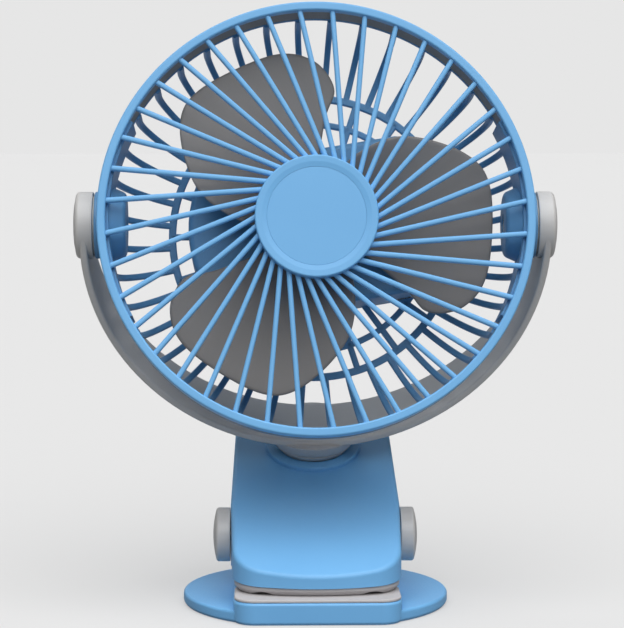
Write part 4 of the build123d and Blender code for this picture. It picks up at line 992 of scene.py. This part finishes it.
# Front grille: one ABS moulding that snaps over the rim band, a rounded ring, forty slanting spokes and a
# round hub with a shallow dish.
spoke_swirl = 24.0
spoke_root = 18.2
spoke_root_d = 15.2
spoke_end_d = 15.1
ring_front_d = 17.0
ring_rear_d = 9.0
rabbet_radius = 66.55
rabbet_d = 13.7
dish_radius = 15.4
dish_d = 17.2
dish_rim_d = 18.4
hub_radius = 19.1
hub_face_d = 18.8
hub_skirt = 17.3
hub_skirt_d = 13.8
hub_ceiling_d = 15.4
bm = bmesh.new()
ring = soften(
    [
        (ring_inner, ring_front_d, 0.6),
        (ring_inner, rabbet_d, 0.2),
        (rabbet_radius, rabbet_d, 0),
        (rabbet_radius, ring_rear_d, 0.2),
        (ring_outer, ring_rear_d, 0.25),
        (ring_outer, ring_front_d, 0.6),
    ]
)
lathe(bm, ring, head_frame, 192)
hub = soften(
    [
        (0, dish_d, 0),
        (dish_radius, dish_d, 0),
        (dish_radius, dish_rim_d, 0),
        (17.0, 18.7, 0.8),
        (hub_radius, hub_face_d, 0.5),
        (hub_radius, hub_skirt_d, 0.4),
        (hub_skirt, hub_skirt_d, 0.4),
        (hub_skirt, hub_ceiling_d, 0),
        (0, hub_ceiling_d, 0),
    ]
)
lathe(bm, hub, head_frame, 144)
inner_turn = radians(-spoke_swirl)
inner = Vector((spoke_root * cos(inner_turn), spoke_root * sin(inner_turn), spoke_root_d))
outer = Vector((rabbet_radius, 0, spoke_end_d))
run = outer - inner
sweep(
    bm,
    [[inner.lerp(outer, k / 8) for k in range(9)]],
    head_frame,
    {
        **bar_values,
        "Material": blue_abs,
        "Width": 1.6,
        "Depth": 2.4,
        "Rounding": 0.62,
        "Side": Vector((0, 0, 1)).cross(run).normalized(),
    },
)
settle("front_grille_moulding", bm, blue_abs, "head", "blue_abs", "front_grille")

# Hub disc: a plain round ABS plate glued into the dish of the hub, in the same satin blue.
# It stands just below the dish's rim, so a fine ring shows round it.
disc_radius = 15.37
disc_face_d = 18.35
bm = bmesh.new()
disc = soften(
    [(0, dish_d, 0), (disc_radius, dish_d, 0), (disc_radius, disc_face_d, 0.08), (0, disc_face_d, 0)]
)
lathe(bm, disc, head_frame, 144)
settle("hub_plate", bm, blue_abs, "head", "blue_abs", "hub_disc")

# Pod cover, button and light: an ABS lid screwed over the back of the pod, with a grey push button and a
# small clear light pipe.
# The lid takes the same darkened copy of the blue, a painted shade.
dress(painted_shade_blue_abs, "pod_cover")
dress(grey_abs, "power_button")
dress(plated_steel, "pod_cover_screws")

# Studio: a pale table top that keeps the object's soft shadow, a broad lamp high in front of it and a
# weaker one behind in an otherwise dim room, and a camera where the photograph was taken.
scene = bpy.context.scene
scene.view_settings.view_transform = "Standard"
bm = bmesh.new()
bmesh.ops.create_grid(bm, x_segments=4, y_segments=4, size=6.0)
floor_mesh = bpy.data.meshes.new("floor")
bm.to_mesh(floor_mesh)
bm.free()
floor = bpy.data.objects.new("floor", floor_mesh)
scene.collection.objects.link(floor)
# White table top: dead matt; half its tone is the backdrop's own, so the shadow on it stays soft and pale
table_top = surface(
    "white table top", "#9b9b9b", "#9c9c9c", 200.0, 0.9, 1.0, 3.0, 0.01, {"Specular IOR Level": 0.0}
)
tree = table_top.node_tree
shader = next(node for node in tree.nodes if node.type == "BSDF_PRINCIPLED")
tone = shader.inputs["Base Color"].links[0].from_socket
rays = add_node(tree, "ShaderNodeLightPath", {}, {}).outputs
held = add_node(
    tree,
    "ShaderNodeMix",
    {"data_type": "RGBA"},
    {"Factor": rays["Is Camera Ray"], 6: linear("#909090"), 7: tone},
)
tree.links.new(held.outputs[2], shader.inputs["Base Color"])
glow = add_node(tree, "ShaderNodeMath", {"operation": "MULTIPLY"}, {0: rays["Is Camera Ray"], 1: 0.5})
tree.links.new(glow.outputs[0], shader.inputs["Emission Strength"])
shader.inputs["Emission Color"].default_value = linear("#e6e6e6")
floor_mesh.materials.append(table_top)

world = bpy.data.worlds.new("studio")
scene.world = world
world.use_nodes = True
tree = world.node_tree
tree.nodes.clear()
rays = add_node(tree, "ShaderNodeLightPath", {}, {}).outputs
seen = add_node(
    tree,
    "ShaderNodeMath",
    {"operation": "MAXIMUM"},
    {0: rays["Is Camera Ray"], 1: rays["Is Transmission Ray"]},
)
mirrored = add_node(
    tree,
    "ShaderNodeMath",
    {"operation": "MULTIPLY_ADD"},
    {0: rays["Is Glossy Ray"], 1: 0.2, 2: 0.05},
)
strength = add_node(
    tree, "ShaderNodeMath", {"operation": "MAXIMUM"}, {0: seen.outputs[0], 1: mirrored.outputs[0]}
)
backdrop = add_node(
    tree,
    "ShaderNodeBackground",
    {},
    {"Color": linear("#e6e6e6"), "Strength": strength.outputs[0]},
)
add_node(tree, "ShaderNodeOutputWorld", {}, {"Surface": backdrop.outputs["Background"]})

for label, energy, spread, lean, heading in (("key", 3.6, 75, 31, 9), ("back_light", 1.6, 60, 64, 188)):
    lamp = bpy.data.lights.new(label, "SUN")
    lamp.energy = energy
    lamp.angle = radians(spread)
    lamp_object = bpy.data.objects.new(label, lamp)
    lamp_object.rotation_euler = (radians(lean), 0, radians(heading))
    lamp_object.visible_glossy = label == "key"
    scene.collection.objects.link(lamp_object)

camera_data = bpy.data.cameras.new("camera")
camera_data.lens = 134.7
camera_data.sensor_width = 36.0
camera = bpy.data.objects.new("camera", camera_data)
camera.location = (-0.018, -0.740, 0.160)
camera.rotation_euler = (radians(90 - 5.27), 0, radians(-1.31))
scene.collection.objects.link(camera)
scene.camera = camera
